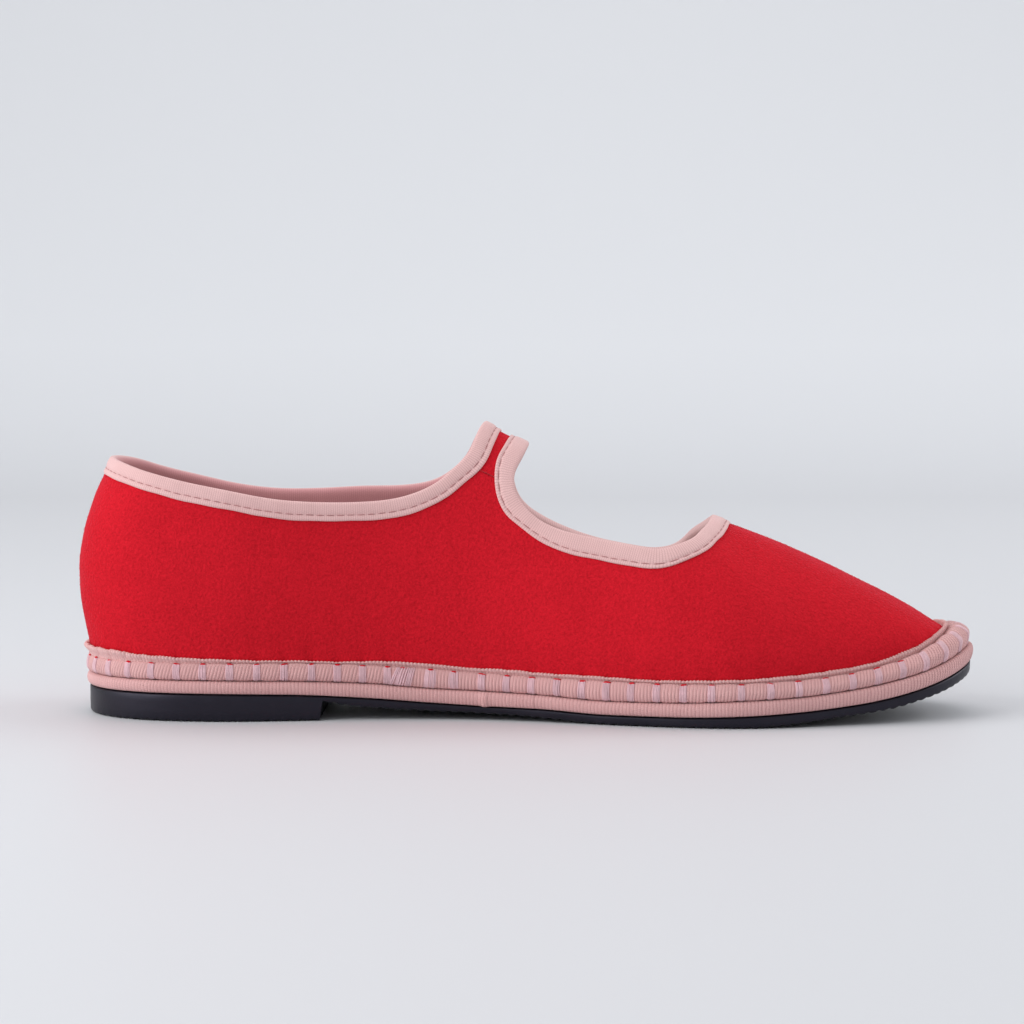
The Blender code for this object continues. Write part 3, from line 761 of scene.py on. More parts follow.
# Edge of the rubber from the tread up: distance inside the sole edge, share of its height,
# rounding lifted off the floor, share of the tread's bumps
SOLE_WALL = (
    (2.2, 0.0, 0.0, 1.0),
    (1.6, 0.0, 0.04, 1.0),
    (1.20, 0.0, 0.16, 0.8),
    (0.95, 0.0, 0.42, 0.4),
    (0.82, 0.0, 0.85, 0.1),
    (0.76, 0.35, 0.7, 0.0),
    (0.75, 0.70, 0.6, 0.0),
    (0.75, 0.94, 0.0, 0.0),
    (0.95, 1.0, 0.0, 0.0),
)
ROUNDED_SHARE = 0.42

# Tread: bumps along the edge, and the cross pattern underneath
TREAD_PITCH = 3.1
TREAD_HEIGHT = 0.42
LUG_RATE = 1.05
LUG_HEIGHT = 0.40

# How far up the velvet the wraps gather it, swell between them and pull at them,
# soft waves of the skin, how far it and the lining reach down, its turned-in edge
GATHER_REACH = 3.2
GATHER_SWELL = 0.20
GATHER_PULL = 0.30
SKIN_WAVE = 0.10
SKIN_TUCK = 2.2
LINING_TUCK = 3.2
TURNED_IN = (0.35, 0.8)

# Insole: how far its edge is rounded down, and over what width
INSOLE_ROUNDED = 0.55
INSOLE_ROUNDING = 0.8

# Pile of the velvet: number of fibres, length, width, spread of the length, depth of the root
PILE_FIBRES = 60000
PILE_LENGTH = 0.42
PILE_WIDTH = 0.075
PILE_LENGTHS = (0.5, 1.1)
PILE_ROOT = 0.05

# Lean of the pile, and how much its fibres stray from it
PILE_LEAN = (-0.15, 0.0, -0.25)
PILE_STRAY = 0.45

# Ribs of the ribbons: distance and depth
ROLL_RIB = 0.95
ROLL_RIB_DEPTH = 0.18
BAND_RIB = 1.00
BAND_RIB_DEPTH = 0.15
TAPE_RIB = 0.60

# Weft beads along each cord of the ribbons
ROLL_WEFT = 0.52
BAND_WEFT = 0.62
TAPE_WEFT = 0.50

# Shape of the ribs: roundness, middle height, flatness under a wrap, bow over the roll
RIB_ROUNDNESS = 0.8
RIB_MIDDLE = 0.6
PINCHED_RIB = 0.7
RIB_BOW = 0.22
RIB_BOW_LENGTH = 9.0

# Lean of the roll's ribs on the inner side: along, shift over the roll's height
ROLL_LEAN = (
    (-125.0, 0.26),
    (-45.0, 0.26),
    (-28.0, 0.08),
    (30.0, 0.0),
    (60.0, 0.10),
    (125.0, 0.20),
)

# Selvedge that stands above the roll: how far up the velvet it reaches, its dip at a wrap, its
# loops, how much longer they are at the toe, how far it is set in, and its length across
SELVEDGE_HEIGHT = 1.10
SELVEDGE_DIP = 0.16
PICOT_PITCH = 1.02
PICOT_HEIGHT = 0.24
TOE_FRILL = 2.2
SELVEDGE_SET_IN = 0.25
SELVEDGE_ACROSS = 3.4

# Height above the feather that one radian of rise stands for, near the roll
SELVEDGE_CLIMB = 45.0

# Section of the selvedge: height at its foot, share of its height, distance off the velvet,
# and how far its loops stand out there
SELVEDGE_SECTION = (
    (-0.9, 0.0, 0.70, 0.0),
    (-0.2, 0.0, 0.92, 0.02),
    (0.0, 0.20, 0.74, 0.04),
    (0.0, 0.42, 0.78, 0.12),
    (0.0, 0.64, 0.92, 0.24),
    (0.0, 0.84, 0.92, 0.32),
    (0.0, 0.97, 0.70, 0.26),
    (0.0, 1.00, 0.34, 0.10),
    (0.0, 0.90, 0.06, 0.0),
    (-0.2, 0.0, 0.00, 0.0),
)

# Pucker of the selvedge where it stands high, per millimetre of extra height
PUCKER = 0.16

# Where the selvedge stands higher or lower than usual: along, extra height
SELVEDGE_RISE = (
    (-125.0, 2.0),
    (-113.0, 1.9),
    (-107.0, 1.15),
    (-100.0, 0.8),
    (-94.0, 0.5),
    (-88.0, 0.2),
    (-80.0, -0.1),
    (-66.0, -0.35),
    (-54.0, -0.4),
    (-43.0, 0.0),
    (-36.0, 0.3),
    (-17.0, 0.1),
    (-10.0, 0.45),
    (-4.0, 0.5),
    (3.0, 0.25),
    (12.0, 0.2),
    (24.0, 0.05),
    (33.0, -0.2),
    (46.0, 0.1),
    (60.0, 0.05),
    (66.0, 0.37),
    (78.0, 0.45),
    (84.0, 0.6),
    (91.0, 0.45),
    (98.0, 0.4),
    (104.0, 0.75),
    (110.0, 0.45),
    (126.0, 0.4),
)

# Machine stitches of the bindings: distance, length, radius, place below the edge, height off
# the velvet at their ends and its rise between them; then those of the strap's foot
SEAM_PITCH = 2.75
SEAM_LENGTH = 2.05
SEAM_RADIUS = 0.11
SEAM_FROM_EDGE = 1.5
SEAM_LOW = 0.42
SEAM_ARCH = 0.16
STRAP_SEAM_PITCH = 0.9
STRAP_SEAM_RADIUS = 0.15
STRAP_SEAM_LOW = 0.02
STRAP_SEAM_ARCH = 0.10

# Extra length of the tape's inner leg, and where across the tape the painted shade on its inner side begins
# and where it is full
INNER_LEG = 2.6
INNER_SHADE_SPAN = (6.2, 7.6)

# Width of the flange below the seam, as a share of the collar's
COLLAR_FLANGE = 1.0
THROAT_FLANGE = 0.72

# Where the outer leg is narrower, or wider if negative: amount, middle, softness. The
# crest's middle is a height; the others are places along the shoe.
COLLAR_WIDER = (-0.35, -20.0, 1.5)
THROAT_REAR = ((1.1, 3.0, 7.0), (-0.3, -1.0, 2.0))
THROAT_AHEAD = (0.5, 43.0, 2.0)
THROAT_CREST = (-0.75, 68.0, 1.0)

# Height off the velvet above which the tape puffs fully
TAPE_PUFFED = 0.7

# Section of the visible tape: share of the leg or depth, height off the velvet
TAPE_LOOK = (
    ("leg", 0.00, 0.04),
    ("leg", 0.08, 0.30),
    ("leg", -0.10, 0.56),
    ("leg", -0.45, 0.66),
    ("leg", -0.90, 0.64),
    ("leg", -1.25, 0.55),
    ("leg", -1.45, 0.44),
    ("leg", -1.65, 0.56),
    ("leg", -2.05, 0.78),
    ("leg", -2.80, 0.92),
    ("edge", 1.00, 0.96),
    ("edge", 0.45, 0.84),
    ("edge", 0.12, 0.50),
    ("edge", 0.00, -0.10),
    ("edge", 0.00, -0.90),
    ("edge", 0.14, -1.55),
    ("edge", 0.50, -2.05),
    ("edge", 1.20, -2.40),
    ("edge", 2.40, -2.50),
    ("inner", -1.20, -2.50),
    ("inner", -0.20, -2.34),
    ("inner", 0.00, -2.05),
    ("inner", -0.60, -1.90),
    ("edge", 1.30, -1.80),
    ("edge", 1.00, 0.12),
    ("leg", -0.60, 0.08),
)

# Camera that matches the photograph
CAMERA_PLACE = (-0.00386, -0.850, 0.116)
CAMERA_DOWN = 4.07
CAMERA_LENS = 106.56
SENSOR = 36.0

# Colours, linear
VELVET_DEEP = (0.440, 0.0070, 0.0140)
VELVET_LIGHT = (0.745, 0.0140, 0.0290)
VELVET_SHEEN = (1.0, 0.22, 0.32)
# Ribbon colour pairs: the first, darker colour is painted shade in the grooves between cords and weft beads,
# the second is the colour on their crests
RIBBON_COLOURS = ((0.365, 0.142, 0.147), (0.760, 0.445, 0.436))
TAPE_COLOURS = ((0.500, 0.262, 0.256), (0.815, 0.530, 0.518))
# Darker copy of the tape's colours: painted shade on the binding's inner side, inside the shoe
TAPE_INSIDE_SHADE = ((0.450, 0.190, 0.200), (0.640, 0.305, 0.315))
# Selvedge: a lighter copy of the ribbon's colours, painted light where it catches the light; its darker first
# colour is painted shade in the grooves
SELVEDGE_COLOURS = ((0.500, 0.235, 0.235), (0.790, 0.500, 0.485))
THREAD = (0.720, 0.465, 0.510)
# Seam thread: darker than the tape, partly its own colour and partly painted shade of the stitch groove it
# lies in
SEAM_THREAD = (0.47, 0.20, 0.20)
RUBBER = (0.0036, 0.0033, 0.0056)
RUBBER_SHINE = (0.80, 0.76, 1.0)
COTTON = (0.56, 0.33, 0.32)
# The sweep's floor is darker than its wall: painted shade on the floor
STUDIO_FLOOR = (0.660, 0.668, 0.695)
STUDIO_WALL = (0.840, 0.854, 0.885)
SKY = (0.97, 0.98, 1.0)
SKY_STRENGTH = 0.62

# Depth of the materials' bumps, metres
VELVET_BUMP = 0.00030
RIBBON_BUMP = 0.00014
SELVEDGE_BUMP = 0.00012
TAPE_BUMP = 0.00005
THREAD_BUMP = 0.00010
RUBBER_BUMP = 0.00003
COTTON_BUMP = 0.00012

# Backdrop, metres: front end, where it bends up, radius, top, half width, and the depths
# between which the floor's colour goes over into the wall's
SWEEP_FRONT = -2.4
SWEEP_BEND = 1.2
SWEEP_RADIUS = 1.1
SWEEP_TOP = 4.0
SWEEP_HALF = 4.0
SWEEP_BLEND = (0.9, 1.6)

# Soft lights, metres and watts: name, place, what it faces, size, power
LIGHTS = (
    ("overhead", (-0.30, 0.85, 2.0), (0.0, 0.0, 0.0), (2.0, 1.6), 11.5),
    ("heel_side", (-0.85, -0.42, 0.50), (0.0, 0.0, 0.04), (0.8, 0.8), 6.8),
    ("toe_side", (1.5, 0.35, 0.8), (0.08, 0.0, 0.03), (1.0, 1.0), 9.5),
)


class Edge:
    """One bound edge of the upper, with the places where the strap's seams cross it."""

    def __init__(self, curve, side, leg, flange, seam_height, stations):
        self.curve, self.start, self.end = curve
        self.side = side
        self.leg = leg
        self.flange = flange
        self.stations = stations
        half = (self.start + self.end) / 2
        self.near = self.distance_at_height(self.start, half, seam_height)
        self.far = self.distance_at_height(self.end, half, seam_height)

    def distance_at_height(self, start, end, height):
        """Distance along the edge where it has come down to a height."""
        def above(distance):
            knot = self.curve(np.array([distance]))[0]
            return last_surface(knot[0], knot[1])[2] > height

        return crossing(start, end, above)

    def sunk(self, distances, depth):
        """Knots at a depth below the finished edge, within the surface."""
        nudge = EDGE_NUDGE * self.side
        before = self.curve(distances - nudge)
        after = self.curve(distances + nudge)
        knots = self.curve(distances)
        _, along, upward, normal = surface_frame(knots[:, 0], knots[:, 1])
        travel = last_surface(after[:, 0], after[:, 1]) - last_surface(before[:, 0], before[:, 1])
        away = unit(np.cross(travel, normal))
        first = (along * along).sum(-1)
        mixed = (along * upward).sum(-1)
        second = (upward * upward).sum(-1)
        pull_along = (away * along).sum(-1)
        pull_upward = (away * upward).sum(-1)
        scale = first * second - mixed * mixed
        turn = (pull_along * second - pull_upward * mixed) / scale
        lift = (pull_upward * first - pull_along * mixed) / scale
        return knots + np.stack([turn * depth, lift * depth], -1)

    def covered(self, distances):
        """Knots of the velvet's own edge, under the folded tape."""
        return self.sunk(distances, EDGE_COVER)

    def upper(self, steps):
        """Stations between the seams, even along the edge and the feather below it together."""
        samples = np.linspace(self.near, self.far, EDGE_SAMPLES)
        knots = self.curve(samples)
        travel = running_length(last_surface(knots[:, 0], knots[:, 1]))
        travel = travel + running_length(feather_point(knots[:, 0]))
        even = np.linspace(0.0, travel[-1], (self.stations - 1) * steps + 1)
        return np.interp(even, travel, samples)

    def trim(self, distances):
        """How much narrower the tape's outer leg is; wider where it is negative."""
        knots = self.curve(distances)
        place = last_surface(knots[:, 0], knots[:, 1])
        along = place[:, 0]
        if self.side == COLLAR_SIDE:
            return COLLAR_WIDER[0] * ramp(along, *COLLAR_WIDER[1:])
        total = THROAT_AHEAD[0] * ramp(along, *THROAT_AHEAD[1:])
        total = total + THROAT_CREST[0] * ramp(place[:, 2], *THROAT_CREST[1:])
        for amount, middle, reach in THROAT_REAR:
            total = total + amount * hump(along, middle, reach)
        return total

    def even_places(self):
        """Distances along the curve that are even on the surface, and those on the surface."""
        samples = np.linspace(self.start, self.end, SAMPLES)
        knots = self.curve(samples)
        travel = running_length(last_surface(knots[:, 0], knots[:, 1]))
        even = np.linspace(0.0, travel[-1], int(travel[-1] / TAPE_STEP) + 1)
        return np.interp(even[:-1], travel, samples), even


class Ring:
    """Stations round the sole's edge, even in distance, toe to heel by the inner side and back."""

    def __init__(self, count):
        halves = []
        for start, end in ((-HALF_TURN, 0.0), (0.0, HALF_TURN)):
            samples = np.linspace(start, end, SAMPLES)
            travel = running_length(edge_place(samples))
            even = np.linspace(0.0, travel[-1], count // 2 + 1)[:-1]
            halves.append(np.interp(even, travel, samples))
        self.angles = np.concatenate(halves)
        outline = edge_place(self.angles)
        self.travel = running_length(np.concatenate([outline, outline[:1]]))
        self.run = self.travel[:-1]
        self.total = self.travel[-1]

    def angle(self, place):
        """Angle at a distance run from the toe."""
        return np.interp(place, self.travel, np.append(self.angles, HALF_TURN))

    def place(self, angle):
        """Distance run from the toe to an angle."""
        return np.interp(angle, np.append(self.angles, HALF_TURN), self.travel)

    def inner_place(self, along):
        """Distance run from the toe to a place along the inner side."""
        return float(self.place(-edge_angle(along)))

    def rate(self, pitch):
        """Ribs for each millimetre, near a pitch, that go round a whole number of times."""
        return round(self.total / pitch) / self.total


class Nodes:
    """Short way to write a material's nodes."""

    def __init__(self, name, colour, roughness, specular):
        self.material = bpy.data.materials.new(name)
        self.material.use_nodes = True
        self.material.diffuse_color = (*colour, 1.0)
        self.tree = self.material.node_tree
        self.shader = self.tree.nodes["Principled BSDF"]
        self.set("Base Color", (*colour, 1.0))
        self.set("Roughness", roughness)
        self.set("Specular IOR Level", specular)

    def set(self, name, value):
        """Give one of the shader's sockets a constant or another node's output."""
        self.connect(value, self.shader.inputs[name])

    def add(self, kind, **inputs):
        """New node; each input is a number, a colour or another node's output."""
        node = self.tree.nodes.new(kind)
        for key, value in inputs.items():
            self.connect(value, node.inputs[key.replace("_", " ")])
        return node

    def connect(self, value, socket):
        """Link an output to a socket, or set the socket to a constant."""
        if isinstance(value, bpy.types.NodeSocket):
            self.tree.links.new(value, socket)
        else:
            socket.default_value = value

    def maths(self, operation, first, second=0.0, third=0.0):
        """Output of a Math node."""
        node = self.tree.nodes.new("ShaderNodeMath")
        node.operation = operation
        for socket, value in zip(node.inputs, (first, second, third)):
            self.connect(value, socket)
        return node.outputs[0]

    def weighed(self, *fields):
        """Sum of fields, each times its weight."""
        total = 0.0
        for field, weight in fields:
            total = self.maths("MULTIPLY_ADD", field, weight, total)
        return total

    def ribs(self, turns):
        """Round ribs from 0 to 1, one for each turn."""
        return self.maths("ABSOLUTE", self.maths("SINE", self.maths("MULTIPLY", turns, HALF_TURN)))

    def noise(self, place, scale, detail, roughness=0.5):
        """Noise value from 0 to 1."""
        node = self.add("ShaderNodeTexNoise", Vector=place, Scale=scale, Detail=detail, Roughness=roughness)
        return node.outputs["Fac"]

    def span(self, value, low, high, new_low=0.0, new_high=1.0):
        """Value moved from one range to another and held inside it."""
        node = self.tree.nodes.new("ShaderNodeMapRange")
        for socket, number in zip(node.inputs[:5], (value, low, high, new_low, new_high)):
            self.connect(number, socket)
        return node.outputs[0]

    def blend(self, share, first, second):
        """Colour between two colours."""
        node = self.tree.nodes.new("ShaderNodeMix")
        node.data_type = "RGBA"
        colours = [socket for socket in node.inputs if socket.type == "RGBA"]
        self.connect(share, node.inputs[0])
        for socket, colour in zip(colours, (first, second)):
            self.connect((*colour, 1.0) if isinstance(colour, tuple) else colour, socket)
        return [socket for socket in node.outputs if socket.type == "RGBA"][0]

    def finish(self, colour, height, depth):
        """Give the material its colour, and a bump of a height from 0 to 1 over a depth in metres."""
        self.set("Base Color", colour)
        self.set("Normal", self.add("ShaderNodeBump", Height=height, Strength=1.0, Distance=depth).outputs[0])
        return self.material


def object_place(nodes):
    """Place on the piece in metres."""
    return nodes.add("ShaderNodeTexCoord").outputs["Object"]


def shaded(colour, factor, lift=0.0):
    """Darker or lighter colour."""
    return tuple(min(1.0, part * factor + lift) for part in colour)


def velvet_material():
    """Short cotton velvet: fine grain, soft mottling and a pale sheen at grazing angles."""
    nodes = Nodes("velvet", VELVET_LIGHT, roughness=0.92, specular=0.08)
    nodes.set("Sheen Weight", 0.30)
    nodes.set("Sheen Roughness", 0.26)
    nodes.set("Sheen Tint", (*VELVET_SHEEN, 1.0))
    place = object_place(nodes)
    grain = nodes.noise(place, scale=2500.0, detail=1.0, roughness=0.6)
    tufts = nodes.noise(place, scale=1300.0, detail=1.0)
    mottle = nodes.noise(place, scale=55.0, detail=3.0)
    share = nodes.span(nodes.weighed((grain, 0.40), (tufts, 0.44), (mottle, 0.16)), 0.25, 0.75)
    height = nodes.weighed((tufts, 1.0), (grain, 0.4))
    return nodes.finish(nodes.blend(share, VELVET_DEEP, VELVET_LIGHT), height, VELVET_BUMP)


def ribbon_material(name, rib, weft, depth, colours, inner=None):
    """Grosgrain: cords across the tape with weft beads, from the weave map in millimetres; painted shade
    darkens the grooves, and the inner side when an inner colour pair is given.
    """
    nodes = Nodes(name, colours[1], roughness=0.78, specular=0.22)
    nodes.set("Sheen Weight", 0.20)
    nodes.set("Sheen Roughness", 0.4)
    weave = nodes.tree.nodes.new("ShaderNodeUVMap")
    weave.uv_map = "weave"
    place = weave.outputs[0]
    parts = nodes.add("ShaderNodeSeparateXYZ", Vector=place)
    across = parts.outputs["Y"]
    wander = nodes.noise(place, scale=0.55, detail=2.0)
    shifted = nodes.maths("MULTIPLY_ADD", wander, 0.5 * rib, parts.outputs["X"])
    turns = nodes.maths("DIVIDE", shifted, rib)
    every_other = nodes.maths("FRACT", nodes.maths("MULTIPLY", nodes.maths("FLOOR", turns), 0.5))
    moved = nodes.maths("MULTIPLY_ADD", every_other, weft, across)
    beads = nodes.ribs(nodes.maths("DIVIDE", moved, weft))
    fibre = nodes.noise(place, scale=6.0, detail=3.0, roughness=0.6)
    height = nodes.weighed((nodes.ribs(turns), 0.56), (beads, 0.44), (fibre, 0.16))
    patch = nodes.span(nodes.noise(place, scale=0.09, detail=3.0), 0.25, 0.75, 0.84, 1.0)
    # Colour follows the bump: painted shade where the ribs and beads are low; the patch noise only varies the
    # tone at random
    share = nodes.maths("MULTIPLY", nodes.span(height, 0.12, 0.72), patch)
    colour = nodes.blend(share, *colours)
    # Painted shade on the tape's inner side, faded in across the tape
    if inner is not None:
        inner_shade_share = nodes.span(across, *INNER_SHADE_SPAN)
        colour = nodes.blend(inner_shade_share, colour, nodes.blend(share, *inner))
    return nodes.finish(colour, height, depth)


def thread_material(name, colour):
    """Soft cotton floss with fibres."""
    nodes = Nodes(name, colour, roughness=0.7, specular=0.3)
    nodes.set("Sheen Weight", 0.2)
    place = object_place(nodes)
    fibre = nodes.noise(place, scale=2600.0, detail=3.0, roughness=0.6)
    patch = nodes.noise(place, scale=340.0, detail=2.0)
    share = nodes.span(nodes.weighed((fibre, 0.5), (patch, 0.5)), 0.3, 0.7)
    return nodes.finish(nodes.blend(share, shaded(colour, 0.80), shaded(colour, 1.18)), fibre, THREAD_BUMP)


def rubber_material():
    """Moulded blue-black rubber with a low satin shine and fine dust."""
    nodes = Nodes("sole_rubber", RUBBER, roughness=0.38, specular=0.42)
    nodes.set("Specular Tint", (*RUBBER_SHINE, 1.0))
    place = object_place(nodes)
    skin = nodes.noise(place, scale=1400.0, detail=2.0)
    smear = nodes.noise(place, scale=60.0, detail=4.0, roughness=0.6)
    nodes.set("Roughness", nodes.span(smear, 0.3, 0.75, 0.30, 0.52))
    dusty = shaded(RUBBER, 2.1, 0.004)
    return nodes.finish(nodes.blend(nodes.span(smear, 0.5, 0.85), RUBBER, dusty), skin, RUBBER_BUMP)


def cotton_material():
    """Plain-woven cotton from two crossed waves, with painted shade in the hollows of the weave."""
    nodes = Nodes("cotton", COTTON, roughness=0.9, specular=0.15)
    place = object_place(nodes)
    waves = []
    for direction in ("X", "Y"):
        wave = nodes.add("ShaderNodeTexWave", Vector=place, Scale=320.0, Distortion=0.6, Detail_Scale=2.0)
        wave.bands_direction = direction
        waves.append(wave.outputs["Fac"])
    height = nodes.maths("MULTIPLY", *waves)
    patch = nodes.noise(place, scale=45.0, detail=4.0)
    # Half of the tone varies at random; half follows the weave's bump, painted shade where it is low
    share = nodes.weighed((patch, 0.5), (height, 0.5))
    return nodes.finish(nodes.blend(share, shaded(COTTON, 0.72), COTTON), height, COTTON_BUMP)


def make_piece(name, points, faces, material, weave=None):
    """Mesh object from points in millimetres, with weave coordinates for each face corner."""
    mesh = bpy.data.meshes.new(name)
    mesh.from_pydata((np.asarray(points, float) * MILLIMETRE).tolist(), [], faces)
    if weave is not None:
        layer = mesh.uv_layers.new(name="weave")
        layer.data.foreach_set("uv", np.asarray(weave, np.float32).ravel())
    mesh.polygons.foreach_set("use_smooth", [True] * len(mesh.polygons))
    mesh.materials.append(material)
    mesh.update()
    piece = bpy.data.objects.new(name, mesh)
    bpy.context.scene.collection.objects.link(piece)
    return piece


def looks_outward(points, faces):
    """Whether the four-cornered faces of a closed body look out of it."""
    first, second, third, fourth = [points[column] for column in faces.T]
    volume = (first * np.cross(second, third)).sum() + (first * np.cross(third, fourth)).sum()
    return volume > 0


def grid_cells(columns, rows, closed_columns, closed_rows):
    """Corner numbers of a grid's cells, with columns outermost."""
    reach_columns = columns if closed_columns else columns - 1
    reach_rows = rows if closed_rows else rows - 1
    column, row = np.meshgrid(np.arange(reach_columns), np.arange(reach_rows), indexing="ij")
    column = column.ravel()
    row = row.ravel()
    corners = []
    for step_column, step_row in ((0, 0), (0, 1), (1, 1), (1, 0)):
        corners.append((column + step_column, row + step_row))
    return corners


def grid_piece(name, grid, material, closed=(True, True), along=None, across=None, flip=False, lean=None):
    """Piece from a grid; along and across are its weave coordinates, lean slants the ribs."""
    columns, rows, _ = grid.shape
    points = grid.reshape(-1, 3)
    corners = grid_cells(columns, rows, *closed)
    numbers = [(column % columns) * rows + row % rows for column, row in corners]
    faces = np.stack(numbers, 1)
    weave = None
    if along is not None:
        slope = np.zeros(columns) if lean is None else lean
        weave = []
        for column, row in corners:
            shifted = along[column] + slope[column % columns] * across[row]
            weave.append(np.stack([shifted, across[row]], -1))
        weave = np.stack(weave, 1)
    if all(closed) and not looks_outward(points, faces):
        flip = not flip
    if flip:
        faces = faces[:, ::-1]
        if weave is not None:
            weave = weave[:, ::-1]
    return make_piece(name, points, faces.tolist(), material, weave)


def dress(piece, slot, *nodes):
    """Fix a piece to the shoe and hide the solids it stands for; the slot is not used."""
    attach(piece, "root")
    if nodes:
        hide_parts(*nodes)
    return piece


def stitch_chain(start, end, ring):
    """Stitches from one distance to another, at the pitch of the place they lie at."""
    pitch = monotone_curve(STITCH_PITCH, 1)
    way = 1.0 if end > start else -1.0
    places = [start]
    while (end - places[-1]) * way > 0:
        places.append(places[-1] + way * float(pitch(edge_along(ring.angle(places[-1])))))
    return places


def stitch_places(ring):
    """Distances of the whip stitches round the shoe, from the arch both ways to the toe."""
    first = ring.inner_place(FIRST_STITCH)
    last = ring.inner_place(LAST_STITCH)
    forward = np.array(stitch_chain(last, 0.0, ring)[:-1])
    gap = forward[-2] - forward[-1]
    goal = ring.total + forward[-1] - gap
    rearward = np.array(stitch_chain(first, goal, ring))
    rearward = first + (rearward - first) * (goal - first) / (rearward[-1] - first)
    return np.concatenate([forward, rearward]) % ring.total


def pinch_and_pillow(travel, places, total):
    """How far each station is pulled in by its nearest stitch, and swollen between two."""
    ordered = np.sort(places)
    ring = np.concatenate([[ordered[-1] - total], ordered, [ordered[0] + total]])
    cell = np.clip(np.searchsorted(ring, travel) - 1, 0, len(ring) - 2)
    before = travel - ring[cell]
    after = ring[cell + 1] - travel
    pillow = np.sin(HALF_TURN * before / (before + after)) ** PILLOW_ROUNDNESS
    return hump(np.minimum(before, after), 0.0, PINCH_REACH), pillow


def closed_loop_points(knots, count):
    """Smooth closed loop through the knots of each station, by Catmull-Rom pieces."""
    total = knots.shape[1]
    place = np.arange(count) * total / count
    cell = np.floor(place).astype(int)
    share = (place - cell)[None, :, None]
    before = knots[:, (cell - 1) % total]
    start = knots[:, cell % total]
    end = knots[:, (cell + 1) % total]
    after = knots[:, (cell + 2) % total]
    return 0.5 * (2 * start + (end - before) * share
                  + (2 * before - 5 * start + 4 * end - after) * share ** 2
                  + (3 * start - before - 3 * end + after) * share ** 3)


def loop_normals(loop):
    """Outward directions in the plane of each station's loop."""
    travel = unit(np.roll(loop, -1, 1) - np.roll(loop, 1, 1))
    normals = np.stack([travel[..., 1], -travel[..., 0]], -1)
    centre = loop.mean(1, keepdims=True)
    facing = ((loop - centre) * normals).sum(-1).sum(1)
    return normals * np.sign(facing)[:, None, None]


def place_loops(angles, loops):
    """Points of loops given by distance inside the sole edge and height."""
    stations, count, _ = loops.shape
    flat = edge_point(np.repeat(angles, count), -loops[..., 0].ravel())
    flat = flat.reshape(stations, count, 2)
    return np.concatenate([flat, loops[..., 1:]], -1)


def roll_knots(angles):
    """Section of the roll at each station: distance inside the edge and height."""
    inset = FEATHER_INSET(turn_from_heel(angles))
    outer = ROLL_SET_BACK * (inset - NARROW_ROLL)
    slack = inset - outer - NARROW_ROLL
    section = [(outer + behind + part * slack, share) for behind, part, share in ROLL_OUTSIDE]
    section += [(inset + part * UPPER_TUCK - ease, share) for part, ease, share in ROLL_INSIDE]
    knots = []
    for inside, share in section:
        along = edge_point(angles, -inside)[:, 0]
        low = BAND_TOP(along) + GAP
        knots.append(np.stack([inside, low + (ROLL_TOP(along) - low) * share], -1))
    return np.stack(knots, 1)


def roll_lean(angles):
    """Slant of the roll's ribs, the other way round on the outer side."""
    lean = monotone_curve(ROLL_LEAN, 1)(edge_along(angles))
    return np.where(angles < 0, lean, -lean)


def rib_height(turns):
    """Round ribs with narrow valleys, one for each turn."""
    return np.abs(np.sin(HALF_TURN * turns)) ** RIB_ROUNDNESS - RIB_MIDDLE


def distance_across(loops):
    """Distance round a closed section at each of its points, averaged over the stations."""
    steps = np.linalg.norm(np.diff(loops, axis=1, append=loops[:, :1]), axis=-1)
    return np.concatenate([[0.0], np.cumsum(steps.mean(0))])


def make_roll(material, ring, places):
    """Padded ribbon roll, pulled in at each whip stitch, with slanted ribs."""
    loop = closed_loop_points(roll_knots(ring.angles), ROLL_POINTS)
    pinch, pillow = pinch_and_pillow(ring.run, places, ring.total)
    across = distance_across(loop)
    lean = roll_lean(ring.angles)
    bow = RIB_BOW * np.sin(FULL_TURN * across[None, :-1] / RIB_BOW_LENGTH)
    phase = (ring.run[:, None] + lean[:, None] * across[None, :-1] + bow) * ring.rate(ROLL_RIB)
    flattened = 1 - PINCHED_RIB * pinch[:, None]
    push = PILLOW_HEIGHT * pillow[:, None] - PINCH_DEPTH * pinch[:, None]
    push = push + ROLL_RIB_DEPTH * rib_height(phase) * flattened
    grid = place_loops(ring.angles, loop + loop_normals(loop) * push[..., None])
    return grid_piece("rolled_edge", grid, material, (True, True), ring.travel, across, lean=lean)


def roll_line(place, shares, lifts, ring):
    """Points up over the roll from its groove to its top, and their outward directions."""
    angle = ring.angle(place % ring.total)
    loop = closed_loop_points(roll_knots(angle), WRAP_POINTS)
    normals = loop_normals(loop)
    number = (WRAP_FOOT + shares * WRAP_SPAN).astype(int)
    pick = np.arange(len(shares))
    line = loop[pick, number] + normals[pick, number] * lifts[:, None]
    centre = place_loops(angle, line[:, None, :])[:, 0]
    outward = place_loops(angle, (line + normals[pick, number])[:, None, :])[:, 0] - centre
    return centre, unit(outward)


